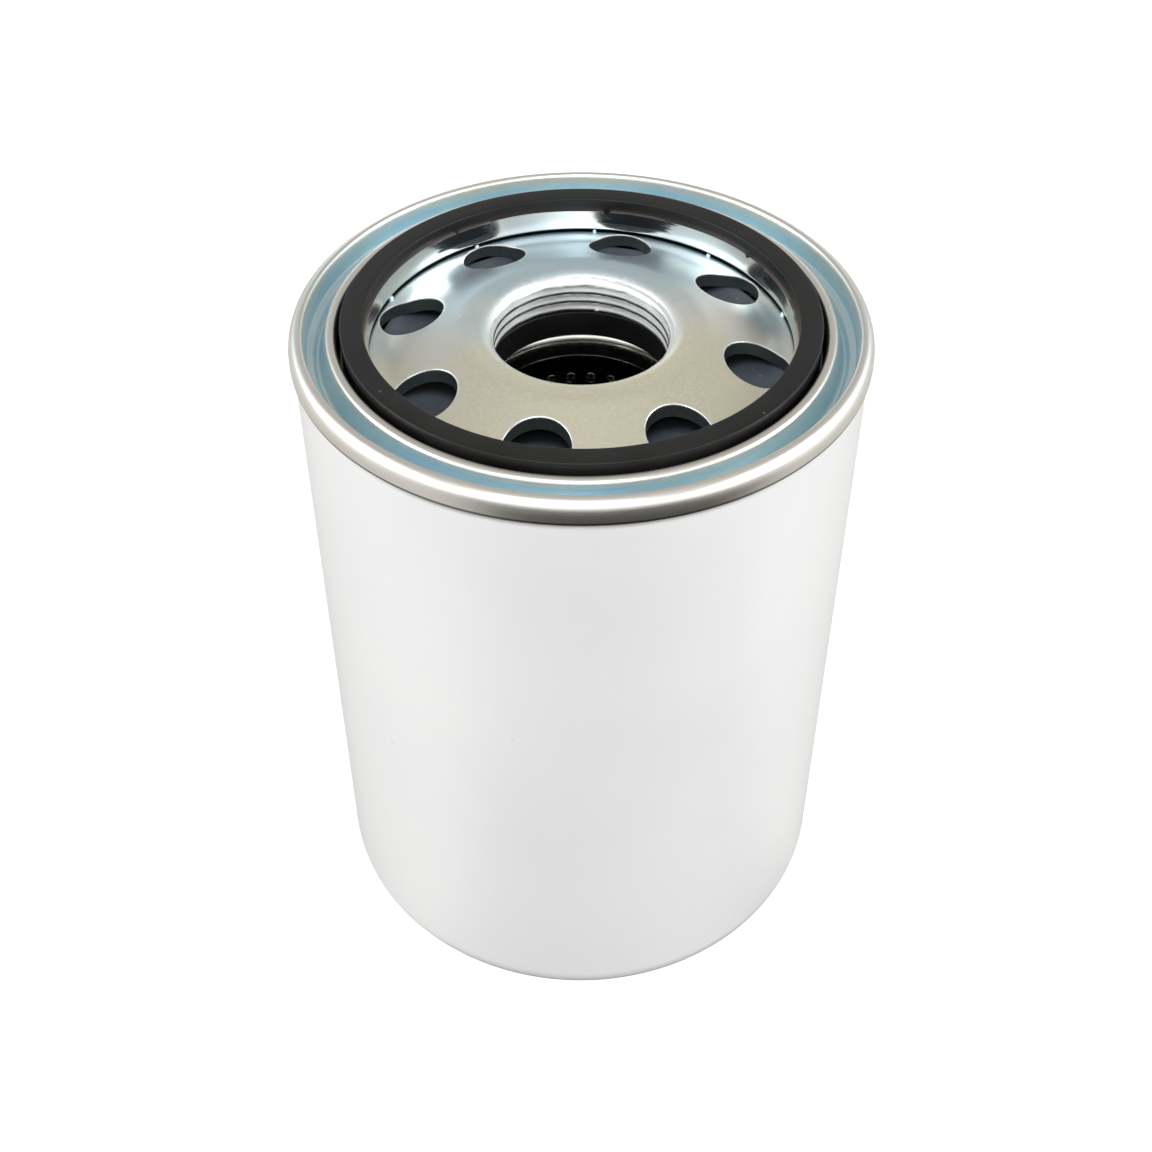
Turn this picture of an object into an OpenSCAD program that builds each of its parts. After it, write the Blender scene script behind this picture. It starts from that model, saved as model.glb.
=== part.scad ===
// Spin-on oil filter, large screw-on type for a hydraulic or transmission circuit.
// Origin: centre of the can's base. +Z runs up the axis to the threaded mouth.
// Every stamping is a stroke: a centreline in (radius, height), thickened to its sheet and revolved.

/* [Can] */
// Outside diameter of the can's straight wall
can_d = 125.6; // [124.8:0.2:126.0]
// Thickness of the can's sheet
can_sheet = 0.5; // [0.45:0.05:0.5]
// Outside radius of the can's bottom corner
can_corner_r = 10; // [8:0.5:12]
// Height of the seam's crest above the base
crest_z = 169.4; // [165:0.2:180]
// Radius of the ring that the can stands on
foot_r = 47; // [44:0.5:49]
// Rise of the bottom panel inside that ring
panel_rise = 2; // [1:0.5:3]

/* [Seam and lid] */
// Outside diameter of the double seam
seam_d = 129; // [128.6:0.2:129.2]
// Thickness of the lid's sheet
lid_sheet = 0.75; // [0.7:0.05:0.75]
// Inside radius of the countersink wall below the seam
chuck_r = 61; // [60.8:0.1:61.1]

/* [Baseplate] */
// Thickness of the baseplate
plate_t = 3.3; // [2.8:0.1:3.5]
// Minor diameter of the head thread, G 1 1/4
thread_minor_d = 38.952; // [38.7:0.001:39.2]
// Length of the threaded neck below the plate's crown
neck_depth = 10.2; // [9:0.1:10.5]
// Radius of the neck's rounded mouth
mouth_r = 4.2; // [3.5:0.1:5]
// Slope of the plate's cone, in degrees
plate_slope = 16.3; // [15.5:0.1:17]
// Number of inlet holes
inlet_count = 8; // [4:1:10]
// Diameter of an inlet hole
inlet_d = 14.6; // [10:0.2:15]
// Diameter of the circle through the inlet holes
inlet_pcd = 79.2; // [77:0.2:80]
// Angle of the first inlet hole, in degrees
inlet_turn = 76.3; // [0:0.1:90]
// Number of projection welds between the lid and the plate
weld_count = 10; // [6:1:12]

/* [Gasket] */
// Outside diameter of the gasket
gasket_od = 106.1; // [105.5:0.1:106.5]
// Inside diameter of the gasket
gasket_id = 96; // [96:0.05:97]
// Height that the gasket stands above the seam's crest
gasket_proud = 0.9; // [0.5:0.1:1.5]

/* [Element] */
// Outside diameter of the end caps
cap_d = 112; // [108:0.5:114]
// Thickness of the end caps' sheet
cap_sheet = 0.6; // [0.5:0.05:0.8]
// Height of the top cap's upper face above the base
top_cap_z = 150; // [149:0.5:150]
// Height of the bottom cap's lower face above the base
bottom_cap_z = 26; // [24:0.5:30]
// Number of pleats in the media
pleat_count = 72; // [40:1:90]
// Thickness of the pleated media
media_t = 0.7; // [0.5:0.05:0.8]
// Inside diameter of the perforated centre tube
tube_id = 47; // [46.5:0.5:47.5]

/* [Valves] */
// Travel of the bypass poppet
bypass_lift = 4; // [2:0.5:5]
// Wire diameter of the hold-up spring
holdup_wire = 3; // [2.5:0.1:3.5]
// Wire diameter of the bypass spring
bypass_wire = 1.2; // [1:0.1:1.4]

/* [Hidden] */
$fn = 96;

white_paint = [0.94, 0.94, 0.93];
zinc = [0.78, 0.80, 0.76];
zinc_blue = [0.68, 0.77, 0.78];
black_rubber = [0.12, 0.12, 0.12];
grey_rubber = [0.26, 0.29, 0.35];
tinplate = [0.72, 0.72, 0.70];
paper = [0.86, 0.80, 0.64];
potting_resin = [0.16, 0.15, 0.15];
spring_steel = [0.50, 0.50, 0.52];
brass_tone = [0.76, 0.66, 0.36];

can_r = can_d / 2;
seam_r = seam_d / 2;
slack = 0.05;                                 // gap between parts that only just touch

// The seam, counted from the inside out: lid, can wall, lid hook, can hook, lid
wall_in = chuck_r + lid_sheet + slack;
seam_mid_r = chuck_r + 0.9;
seam_mid_z = crest_z - 3.9;
roll_a = seam_r - seam_mid_r;
roll_b = crest_z - seam_mid_z;
lid_hook_r = wall_in + can_sheet + slack;
lid_hook_tip = seam_mid_z + 0.5;
curl_z = seam_mid_z - 0.9;
curl_drop = 1.1;

// The lid's gasket channel, ridge and valley
lip_r = gasket_id / 2 - 0.4;                  // centreline of the thinned inner lip
lip_top_z = crest_z - 1.9;
floor_z = crest_z - 7;                        // the gasket sits here
ridge_r = 55.2;
ridge_bend = 1.1;
valley_z = crest_z - 6.8;
ledge_z = crest_z - 5.4;

// The baseplate
flange_z = floor_z - lid_sheet;
crown_z = crest_z - 2.6;
neck_r = thread_minor_d / 2;
neck_z = crown_z - neck_depth;
plate_r = 60.6;
inlet_z = crest_z - 6.67;                     // height of the cone at the inlet holes
cone_rise = tan(plate_slope);
cone_in_r = inlet_pcd / 2 + (inlet_z - crown_z) / cone_rise;
cone_out_r = inlet_pcd / 2 + (inlet_z - flange_z) / cone_rise;
weld_r = 47.75;
weld_turn = 13.9;

// The rubber valve between the neck and the element
collar_in_r = 20.3;
collar_out_r = 27;
flap_in_r = collar_out_r + 0.3;
flap_out_r = 46.5;
flap_z = neck_z + 0.6;                        // upper face of the flap's web
flap_t = 1.5;
rim_top_z = flange_z - plate_t - slack;

// The element
cap_r = cap_d / 2;
cap_neck_r = 21.5;
cap_neck_z = top_cap_z - 6.8;
cap_bend = 3;
skirt = 8.5;
potting_t = 5.4;
media_top_z = top_cap_z - cap_sheet - potting_t;
media_low_z = bottom_cap_z + cap_sheet + potting_t;
tube_r = tube_id / 2;
tube_sheet = 0.6;
tube_low_z = bottom_cap_z + cap_sheet + slack;
tube_top_z = top_cap_z - 1.5;
pleat_in_r = tube_r + tube_sheet + 0.5;
pleat_out_r = cap_r - 2.1;
perf_r = 2;
perf_rows = 6;
perf_drills = 4;
perf_low_z = media_low_z + 8;
perf_top_z = top_cap_z - 14.6;

// The bypass valve in the bottom cap
port_r = 9;
seat_r = 15;
seat_low_z = bottom_cap_z - 1.5;
seat_top_z = bottom_cap_z + 4;
seal_t = 1.6;
poppet_r = 13;
poppet_t = 1.2;
poppet_z = seat_top_z + seal_t;
stem_r = 2.5;
cage_r = 19.5;
cage_sheet = 0.8;
cage_top_z = bottom_cap_z + 24;
spring_low_z = poppet_z + poppet_t;
spring_top_z = cage_top_z - cage_sheet;
panel_z = panel_rise + can_sheet;

// Points of an arc about (r, z), from angle a to angle b, with half-axes ra and rb
function arc(r, z, ra, rb, a, b, n = 6) =
    [for (i = [0 : n]) let (t = a + (b - a) * i / n) [r + ra * cos(t), z + rb * sin(t)]];

// Unit normal of the run from p to q, to its left
function left_of(p, q) = let (d = q - p) [-d.y, d.x] / norm(d);

// Offset of point i of a path by the distance t to its left, with mitred corners
function shifted(path, i, t) =
    let (n = len(path),
         a = left_of(path[max(i - 1, 0)], path[max(i, 1)]),
         b = left_of(path[min(i, n - 2)], path[min(i + 1, n - 1)]))
    path[i] + (a + b) * t / (1 + a * b);

// Outline of a sheet of thickness t whose centreline is the path
function sheet(path, t) =
    let (n = len(path))
    concat([for (i = [0 : n - 1]) shifted(path, i, t / 2)],
           [for (i = [n - 1 : -1 : 0]) shifted(path, i, -t / 2)]);

module stamping(path, t) {
    rotate_extrude() polygon(sheet(path, t));
}

// A plain ring: inner and outer radius, lower and upper face
module ring(r_in, r_out, low, high) {
    rotate_extrude() polygon([[r_in, low], [r_out, low], [r_out, high], [r_in, high]]);
}

// A coil spring of round wire, standing between two flat faces
module coil(mean_r, wire, low, high, turns, sides = 8, steps = 18) {
    rings = turns * steps;
    climb = high - low - wire;
    points = [for (i = [0 : rings], j = [0 : sides - 1])
        let (a = 360 * i / steps, b = 360 * j / sides, r = mean_r + wire / 2 * cos(b))
        [r * cos(a), r * sin(a), low + wire / 2 + climb * i / rings + wire / 2 * sin(b)]];
    skin = [for (i = [0 : rings - 1], j = [0 : sides - 1])
        let (k = (j + 1) % sides)
        [i * sides + j, (i + 1) * sides + j, (i + 1) * sides + k, i * sides + k]];
    start = [for (j = [0 : sides - 1]) j];
    finish = [for (j = [sides - 1 : -1 : 0]) rings * sides + j];
    polyhedron(points, concat([start], skin, [finish]), convexity = 10);
}

// Drawn steel can, turned out into a hook at the top that the lid's curl grips
module can() {
    h = can_sheet / 2;
    wall = can_r - h;
    neck = wall_in + h;
    bend = can_corner_r - h;
    path = concat(
        [[0, panel_rise + h]],
        arc(foot_r - 5, panel_rise + h - 1.6, 1.6, 1.6, 90, 40, 3),
        arc(foot_r, h + 1.6, 1.6, 1.6, 220, 270, 3),
        arc(can_r - can_corner_r, can_corner_r, bend, bend, 270, 360, 8),
        [[wall, crest_z - 7.2], [neck, crest_z - 6.2]],
        [[neck, seam_mid_z + 1.9]],
        arc(seam_mid_r, seam_mid_z, roll_a - lid_sheet - slack - h,
            roll_b - lid_sheet - slack - h, 62, 0, 6),
        [[seam_r - lid_sheet - slack - h, curl_z + 0.15]]);
    color(white_paint) stamping(path, can_sheet);
}

// Plated lid: gasket channel, ridge, valley, countersink wall and rolled seam
module seaming_lid() {
    t = lid_sheet;
    h = t / 2;
    heel = 1.5 - h;
    side = (seam_r - h + lid_hook_r + h) / 2;
    path = concat(
        [[lip_r, lip_top_z]],
        arc(lip_r + heel, floor_z - h + heel, heel, heel, 180, 270, 4),
        arc(ridge_r - ridge_bend - 1.1 + h, floor_z - h + 0.9, 0.9, 0.9, 270, 360, 4),
        arc(ridge_r, crest_z - 2, ridge_bend - h, ridge_bend - h, 180, 14, 6),
        arc(58.45, valley_z - h + 1.4, 1.4 - 0.2, 1.4, 205, 290, 4),
        arc(59.75, ledge_z - h - 0.5, 0.5, 0.5, 165, 90, 3),
        arc(60.1 + h - 0.2, ledge_z - h + 0.9, 0.9, 0.9, 270, 355, 4),
        [[chuck_r + h, crest_z - 1.3]],
        arc(seam_mid_r, crest_z - 1.3, seam_mid_r - chuck_r - h, 1.3 - h, 170, 90, 4),
        arc(seam_mid_r, seam_mid_z, roll_a - h, roll_b - h, 86, 0, 8),
        arc(side, curl_z, side - lid_hook_r - h, curl_drop - h, 0, -180, 6),
        [[lid_hook_r + h, lid_hook_tip]]);
    color(zinc_blue) stamping(path, t);
}

// Sealing compound in the pocket above the lid's hook
module seam_sealant() {
    color(black_rubber) ring(lid_hook_r, lid_hook_r + 0.4, lid_hook_tip + slack, lid_hook_tip + 0.55);
}

// Thick plate: flat flange, cone with inlet holes, crown and inward-drawn neck
module baseplate() {
    h = plate_t / 2;
    path = concat(
        [[neck_r + h, neck_z]],
        arc(neck_r + mouth_r, crown_z - mouth_r, mouth_r - h, mouth_r - h, 180, 90, 6),
        arc(cone_in_r - 1, crown_z - h - 12, 12, 12, 86, 90 - plate_slope, 3),
        arc(cone_out_r + 1.2, flange_z - h + 8, 8, 8, 270 - plate_slope, 270, 3),
        [[plate_r, flange_z - h]]);
    color(zinc) difference() {
        stamping(path, plate_t);
        for (i = [0 : inlet_count - 1])
            rotate(inlet_turn + i * 360 / inlet_count)
                translate([inlet_pcd / 2, 0, flange_z - 2 * plate_t])
                    cylinder(d = inlet_d, h = 5 * plate_t);
    }
}

// Weld beads at the lid's heel
module weld_nuggets() {
    color(zinc) for (i = [0 : weld_count - 1])
        rotate(weld_turn + i * 360 / weld_count)
            translate([weld_r, 0, flange_z])
                sphere(r = 0.75, $fn = 24);
}

// Square-cut sealing ring, standing in the lid's channel
module base_gasket() {
    a = gasket_id / 2;
    b = gasket_od / 2;
    top = crest_z + gasket_proud;
    outline = concat(
        arc(a + 1.1, floor_z + 1.1, 1.1, 1.1, 180, 270, 3),
        arc(b - 1.1, floor_z + 1.1, 1.1, 1.1, 270, 360, 3),
        arc(b - 0.35, top - 0.35, 0.35, 0.35, 0, 90, 3),
        arc(a + 0.35, top - 0.35, 0.35, 0.35, 90, 180, 3));
    color(black_rubber) rotate_extrude() polygon(outline);
}

// Clamped root of the rubber anti-drain valve, which also seals the neck to the element
module anti_drain_collar() {
    grip_r = neck_r + plate_t + 0.2;
    color(black_rubber) rotate_extrude() polygon([
        [collar_in_r, top_cap_z + slack],
        [collar_out_r, top_cap_z + slack],
        [collar_out_r, neck_z + 2.2],
        [grip_r + 0.8, neck_z + 3],
        [grip_r, neck_z + 3],
        [grip_r, neck_z - slack],
        [collar_in_r, neck_z - slack]]);
}

// Thin web and rim of the same valve, which close the inlet holes from below
module anti_drain_flap() {
    color(grey_rubber) rotate_extrude() polygon([
        [flap_in_r, flap_z - flap_t],
        [flap_out_r - 4, flap_z - flap_t],
        [flap_out_r - 0.6, rim_top_z - 1.9],
        [flap_out_r, rim_top_z - 1.3],
        [flap_out_r, rim_top_z],
        [flap_out_r - 1.6, rim_top_z],
        [flap_out_r - 4.4, flap_z],
        [flap_in_r, flap_z]]);
}

// Upper stamping of the element, with a rounded collar that guides the outlet
module top_end_cap() {
    h = cap_sheet / 2;
    path = concat(
        [[cap_neck_r + h, cap_neck_z]],
        arc(cap_neck_r + cap_bend, top_cap_z - cap_bend, cap_bend - h, cap_bend - h, 180, 90, 5),
        arc(cap_r - 1.8, top_cap_z - 1.8, 1.8 - h, 1.8 - h, 90, 0, 4),
        [[cap_r - h, top_cap_z - skirt]]);
    color(tinplate) stamping(path, cap_sheet);
}

// Cured compound that bonds the pleats into the top cap
module top_potting() {
    color(potting_resin)
        ring(tube_r + tube_sheet + slack, cap_r - 2.2, media_top_z, top_cap_z - cap_sheet - 4 * slack);
}

// Pleated media, a zigzag sheet from the centre tube out to the caps' rim
module filter_media() {
    half = media_t / 2;
    pitch = 360 / pleat_count;
    // angle that half the sheet's thickness spans at a fold of radius r
    function fold(r) = half * 180 / PI / r;
    outside = [for (i = [0 : pleat_count - 1]) each [
        [pleat_out_r * cos(i * pitch - fold(pleat_out_r)),
         pleat_out_r * sin(i * pitch - fold(pleat_out_r))],
        [pleat_out_r * cos(i * pitch + fold(pleat_out_r)),
         pleat_out_r * sin(i * pitch + fold(pleat_out_r))],
        [(pleat_in_r + media_t) * cos((i + 0.5) * pitch),
         (pleat_in_r + media_t) * sin((i + 0.5) * pitch)]]];
    inside = [for (i = [0 : pleat_count - 1]) each [
        [(pleat_out_r - 3 * media_t) * cos(i * pitch), (pleat_out_r - 3 * media_t) * sin(i * pitch)],
        [pleat_in_r * cos((i + 0.5) * pitch - fold(pleat_in_r)),
         pleat_in_r * sin((i + 0.5) * pitch - fold(pleat_in_r))],
        [pleat_in_r * cos((i + 0.5) * pitch + fold(pleat_in_r)),
         pleat_in_r * sin((i + 0.5) * pitch + fold(pleat_in_r))]]];
    color(paper) translate([0, 0, media_low_z])
        linear_extrude(media_top_z - media_low_z) difference() {
            polygon(outside);
            polygon(inside);
        }
}

// Steel strip that joins the two ends of the pleated sheet
module media_seam_clip() {
    clip_w = 7;
    color(tinplate) translate([0, 0, media_low_z + 2])
        linear_extrude(media_top_z - media_low_z - 4) intersection() {
            difference() {
                circle(r = pleat_out_r + 0.5);
                circle(r = pleat_out_r + slack);
            }
            translate([0, -clip_w / 2]) square([cap_r, clip_w]);
        }
}

// Bands that hold the pleats at an even pitch
module media_bands() {
    color(potting_resin) for (k = [1 : 3])
        translate([0, 0, media_low_z + k * (media_top_z - media_low_z) / 4])
            ring(pleat_out_r + 0.55, pleat_out_r + 1.25, -1.5, 1.5);
}

// Perforated tube that holds the pleats against the flow
module centre_tube() {
    color(tinplate) difference() {
        ring(tube_r, tube_r + tube_sheet, tube_low_z, tube_top_z);
        for (k = [0 : perf_rows - 1], i = [0 : perf_drills - 1])
            translate([0, 0, perf_low_z + k * (perf_top_z - perf_low_z) / (perf_rows - 1)])
                rotate([90, 0, i * 180 / perf_drills])
                    cylinder(r = perf_r, h = 3 * tube_r, center = true, $fn = 24);
    }
}

// Cured compound that bonds the pleats into the bottom cap
module bottom_potting() {
    color(potting_resin)
        ring(tube_r + tube_sheet + slack, cap_r - 2.2, bottom_cap_z + cap_sheet + slack, media_low_z);
}

// Lower stamping of the element, pierced for the bypass valve
module bottom_end_cap() {
    h = cap_sheet / 2;
    path = concat(
        [[seat_r + slack, bottom_cap_z + h]],
        arc(cap_r - 1.8, bottom_cap_z + 1.8, 1.8 - h, 1.8 - h, 270, 360, 4),
        [[cap_r - h, bottom_cap_z + skirt]]);
    color(tinplate) stamping(path, cap_sheet);
}

// Turned seat of the bypass valve, flanged under the cap
module bypass_seat() {
    color(brass_tone) rotate_extrude() polygon([
        [port_r, seat_low_z],
        [seat_r + 3, seat_low_z],
        [seat_r + 3, bottom_cap_z - slack],
        [seat_r, bottom_cap_z - slack],
        [seat_r, seat_top_z - 1],
        [port_r + 1.4, seat_top_z - 1],
        [port_r + 1, seat_top_z],
        [port_r, seat_top_z]]);
}

// Stamped cage that holds the bypass spring and guides the stem
module bypass_cage() {
    h = cage_sheet / 2;
    foot_z = bottom_cap_z + cap_sheet + slack + h;
    foot = concat(
        [[stem_r + 0.08, cage_top_z - h]],
        arc(cage_r - 2, cage_top_z - 2, 2 - h, 2 - h, 90, 0, 4),
        arc(cage_r - h + 0.6, foot_z + 0.6, 0.6, 0.6, 180, 270, 3),
        [[tube_r - 0.6, foot_z]]);
    window_low = seat_top_z + 1;
    window_h = cage_top_z - 4 - window_low;
    color(tinplate) difference() {
        stamping(foot, cage_sheet);
        for (i = [0 : 3])
            rotate(i * 90) translate([cage_r - 4, -10, window_low]) cube([8, 20, window_h]);
    }
}

// Bypass poppet: a disc with its guide stem and the shoulder that ends its travel at the cage
module bypass_poppet() {
    stem_top = cage_top_z + 4;
    stop_z = spring_top_z - bypass_lift - slack;
    color(brass_tone) rotate_extrude() polygon([
        [0, poppet_z],
        [poppet_r - 0.4, poppet_z],
        [poppet_r, poppet_z + 0.4],
        [poppet_r, poppet_z + poppet_t],
        [5.5, poppet_z + poppet_t],
        [4.6, poppet_z + poppet_t + 0.9],
        [4.6, stop_z],
        [stem_r, stop_z],
        [stem_r, stem_top - 0.5],
        [stem_r - 0.5, stem_top],
        [0, stem_top]]);
}

// Rubber face bonded under the poppet
module bypass_seal() {
    color(black_rubber) ring(3, poppet_r - 0.6, seat_top_z + slack, poppet_z);
}

// Spring that keeps the poppet shut
module bypass_spring() {
    color(spring_steel)
        coil(8, bypass_wire, spring_low_z + slack, spring_top_z - slack, 6, sides = 6, steps = 16);
}

// Spring under the element that holds it up against the neck
module holdup_spring() {
    color(spring_steel)
        coil(24.5, holdup_wire, panel_z + slack, bottom_cap_z - slack, 4, steps = 20);
}

can();
seaming_lid();
seam_sealant();
baseplate();
weld_nuggets();
base_gasket();
anti_drain_collar();
anti_drain_flap();
top_end_cap();
top_potting();
filter_media();
media_seam_clip();
media_bands();
centre_tube();
bottom_potting();
bottom_end_cap();
bypass_seat();
bypass_cage();
bypass_poppet();
bypass_seal();
bypass_spring();
holdup_spring();
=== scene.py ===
# %% [markdown]
# # A large screw-on oil filter
# The filter is a stack of thin revolved stampings round one axis: a white drawn can, a plated lid rolled
# onto it, a thick dished plate with a threaded neck, and a square rubber gasket. Nearly everything here is
# a line in (radius, height) that gets a thickness and is turned round the axis. That is also how the real
# parts are made: each is pressed from a flat disc between round dies.
#
# The CAD model gives every size. This script keeps its frame: metres, +Z up, origin under the can.

import math

import bmesh
import bpy
import numpy as np
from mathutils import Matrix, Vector


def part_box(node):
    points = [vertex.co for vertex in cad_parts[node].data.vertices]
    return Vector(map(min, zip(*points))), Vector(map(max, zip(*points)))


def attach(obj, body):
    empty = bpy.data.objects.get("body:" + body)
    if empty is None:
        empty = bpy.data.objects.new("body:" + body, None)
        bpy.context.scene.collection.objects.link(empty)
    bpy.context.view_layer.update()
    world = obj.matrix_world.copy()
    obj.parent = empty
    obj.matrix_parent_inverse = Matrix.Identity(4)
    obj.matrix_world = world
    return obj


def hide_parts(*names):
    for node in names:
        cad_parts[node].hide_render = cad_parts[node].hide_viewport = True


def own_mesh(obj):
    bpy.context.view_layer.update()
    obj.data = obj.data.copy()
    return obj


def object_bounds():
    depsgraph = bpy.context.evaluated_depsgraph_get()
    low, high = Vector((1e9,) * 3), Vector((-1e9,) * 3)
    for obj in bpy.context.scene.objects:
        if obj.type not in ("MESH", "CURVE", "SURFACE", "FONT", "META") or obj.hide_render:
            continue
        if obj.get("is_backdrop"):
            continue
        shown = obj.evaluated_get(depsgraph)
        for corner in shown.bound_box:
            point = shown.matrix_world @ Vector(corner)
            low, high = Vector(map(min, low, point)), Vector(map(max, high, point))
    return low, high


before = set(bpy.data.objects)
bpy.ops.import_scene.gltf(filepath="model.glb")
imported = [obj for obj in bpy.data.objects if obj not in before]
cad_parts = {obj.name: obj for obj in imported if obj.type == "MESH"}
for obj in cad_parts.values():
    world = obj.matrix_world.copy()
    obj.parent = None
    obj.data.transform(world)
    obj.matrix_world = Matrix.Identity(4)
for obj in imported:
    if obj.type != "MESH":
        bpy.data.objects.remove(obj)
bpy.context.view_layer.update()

# %% [markdown]
# ## Reading sizes from the frame
# A size that the CAD model already holds is measured on it, so that the two models can't drift apart. The
# `box` of a round part gives its outer radius and its two heights. Everything is then written in
# millimetres, as on a drawing, and changed to metres only when a mesh is made.

# %% Sizes in millimetres
MM = 0.001


def span(node):
    """Outer radius, lowest height and highest height of a round CAD part, in millimetres."""
    low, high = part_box(node)
    return high.x / MM, low.z / MM, high.z / MM


can_r, _, _ = span("can")
seam_r, _, crest_z = span("seaming_lid")
plate_r, neck_z, crown_z = span("baseplate")
gasket_r, floor_z, gasket_z = span("base_gasket")
flap_r, _, flap_high = span("anti_drain_flap")
cap_r, _, top_cap_z = span("top_end_cap")
_, bottom_cap_z, _ = span("bottom_end_cap")
tube_r, tube_low, tube_high = span("centre_tube")
pleat_r, pleat_low, pleat_high = span("filter_media")
can_sheet, lid_sheet, plate_t, cap_sheet = 0.5, 0.75, 3.3, 0.6
print(f"can r {can_r:.2f}, seam r {seam_r:.2f}, crest {crest_z:.2f}, crown {crown_z:.2f}, neck {neck_z:.2f}")

# %% [markdown]
# ## Strokes and revolved sheets
# A stamping has the same thickness nearly everywhere, so it is easiest to draw its centreline only: short
# straight runs and arcs. `sheet` offsets that line to both sides with mitred corners, and `revolve` turns
# the closed outline round the axis. Points that land on the axis are welded into one, so the middle of the
# can's bottom closes properly. Edges sharper than 35 degrees stay crisp, and the rest shades smoothly.

# %% Profile helpers
def arc(r, z, a, b, start, end, n=10):
    """Points on an ellipse about (r, z) with half-axes a and b, between two angles in degrees."""
    turn = np.radians(np.linspace(start, end, n + 1))
    return list(zip(r + a * np.cos(turn), z + b * np.sin(turn)))


def offset(path, t):
    """The path moved by t to its left, with mitred corners."""
    p = np.array(path, float)
    run = np.diff(p, axis=0)
    left = np.column_stack([-run[:, 1], run[:, 0]]) / np.linalg.norm(run, axis=1)[:, None]
    before = np.vstack([left[:1], left])
    after = np.vstack([left, left[-1:]])
    share = 1 + (before * after).sum(axis=1)
    return p + t * (before + after) / share[:, None]


def sheet(path, t):
    """Closed outline of a sheet of thickness t on a centreline."""
    return np.vstack([offset(path, t / 2), offset(path, -t / 2)[::-1]])


def make_object(name, verts, faces, smooth_deg=35.0):
    """A mesh object in metres from points in millimetres, welded, closed and shaded smooth."""
    mesh = bpy.data.meshes.new(name)
    mesh.from_pydata([tuple(v) for v in np.asarray(verts, float) * MM], [], faces)
    bm = bmesh.new()
    bm.from_mesh(mesh)
    bmesh.ops.remove_doubles(bm, verts=bm.verts, dist=2e-6)
    bmesh.ops.dissolve_degenerate(bm, dist=1e-7, edges=bm.edges)
    bmesh.ops.recalc_face_normals(bm, faces=bm.faces)
    bm.to_mesh(mesh)
    bm.free()
    mesh.shade_smooth()
    mesh.set_sharp_from_angle(angle=math.radians(smooth_deg))
    obj = bpy.data.objects.new(name, mesh)
    bpy.context.scene.collection.objects.link(obj)
    return obj


def turned_grid(outline, segments, closed, start=0.0):
    """Points and faces of a profile turned round the axis."""
    p = np.asarray(outline, float)
    n = len(p)
    turn = start + 2 * np.pi * np.arange(segments) / segments
    verts = np.empty((segments, n, 3))
    verts[:, :, 0] = np.cos(turn)[:, None] * p[:, 0]
    verts[:, :, 1] = np.sin(turn)[:, None] * p[:, 0]
    verts[:, :, 2] = p[:, 1]
    faces = []
    for i in range(segments):
        a, b = i * n, (i + 1) % segments * n
        for j in range(n if closed else n - 1):
            k = (j + 1) % n
            faces.append((a + j, b + j, b + k, a + k))
    return verts.reshape(-1, 3), faces


def revolve(name, outline, segments=192):
    """A closed ring or disc from its outline."""
    verts, faces = turned_grid(outline, segments, closed=True)
    return make_object(name, verts, faces)


# %% [markdown]
# ## The can
# The can is deep-drawn from one disc of steel, so it has no seam: a flat foot ring to stand on, a slightly
# raised middle that can't rock, a generous corner, and a straight wall. At the top the wall steps in and
# turns out into a hook. The hook disappears inside the lid's curl, but it is what holds the filter together.

# %% Can
can_path = (
    [(0, 2.25)]
    + arc(42, 0.65, 1.6, 1.6, 90, 40, 6)
    + arc(47, 1.85, 1.6, 1.6, 220, 270, 6)
    + arc(can_r - 10, 10, 9.75, 9.75, 270, 360, 20)
    + [(can_r - 0.25, z) for z in (40, 80, 120, 160)]
    + arc(can_r - 0.75, crest_z - 7.2, 0.5, 0.5, 0, 55, 5)
    + arc(can_r - 0.25, crest_z - 6.2, 0.5, 0.5, 225, 180, 4)
    + [(62.05, crest_z - 2.4)]
    + arc(61.9, crest_z - 3.9, 1.55, 2.85, 62, 0, 10)
    + [(63.45, crest_z - 4.65)])
can = revolve("can_shell", sheet(can_path, can_sheet), 256)
print("can:", len(can.data.polygons), "faces")

# %% [markdown]
# ## The seaming lid
# One thin ring makes four things at once. From the inside out: a pierced lip that stands up, a channel for
# the gasket, a ridge that keeps it from squeezing outwards, a valley, and a wall that rises into the double
# seam. In a double seam the lid's edge is curled under the can's hook and rolled flat in two passes, so the
# outside shows a smooth bead with a dark gap under it. The lip is a raw, sheared edge: it is thinner, a
# little wavy, and split in a few places where the die pulled it. That is done by moving its top points.

# %% Lid
h = lid_sheet / 2
lid_path = (
    [(47.6, crest_z - 1.9), (47.6, crest_z - 2.6), (47.6, crest_z - 4)]
    + arc(48.725, floor_z + 0.75, 1.125, 1.125, 180, 270, 10)
    + [(50.5, floor_z - h), (52.2, floor_z - h)]
    + arc(53.375, floor_z - h + 0.9, 0.9, 0.9, 270, 360, 10)
    + [(54.33, crest_z - 4), (54.35, crest_z - 2.6)]
    + arc(54.85, crest_z - 1.775, 0.5, 0.5, 176, 90, 8) + arc(55.3, crest_z - 2.075, 0.8, 0.8, 88, 10, 10)
    + [(56.25, crest_z - 2.9), (56.8, crest_z - 4.9)]
    + arc(58.45, crest_z - 5.775, 1.2, 1.4, 196, 290, 12)
    + arc(59.75, crest_z - 6.275, 0.5, 0.5, 150, 90, 6)
    + arc(60.275, crest_z - 4.875, 0.9, 0.9, 275, 355, 9)
    + [(61.3, crest_z - 3.2), (61.375, crest_z - 1.8)]
    + arc(61.9, crest_z - 1.3, 0.525, 0.925, 172, 92, 8)
    + arc(61.9, crest_z - 3.9, 2.225, 3.525, 86, 0, 16)
    + arc(63.425, crest_z - 4.8, 0.7, 0.725, 0, -180, 12)
    + [(62.725, crest_z - 3.4)])
lid = revolve("lid_ring", sheet(lid_path, lid_sheet), 480)
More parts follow.
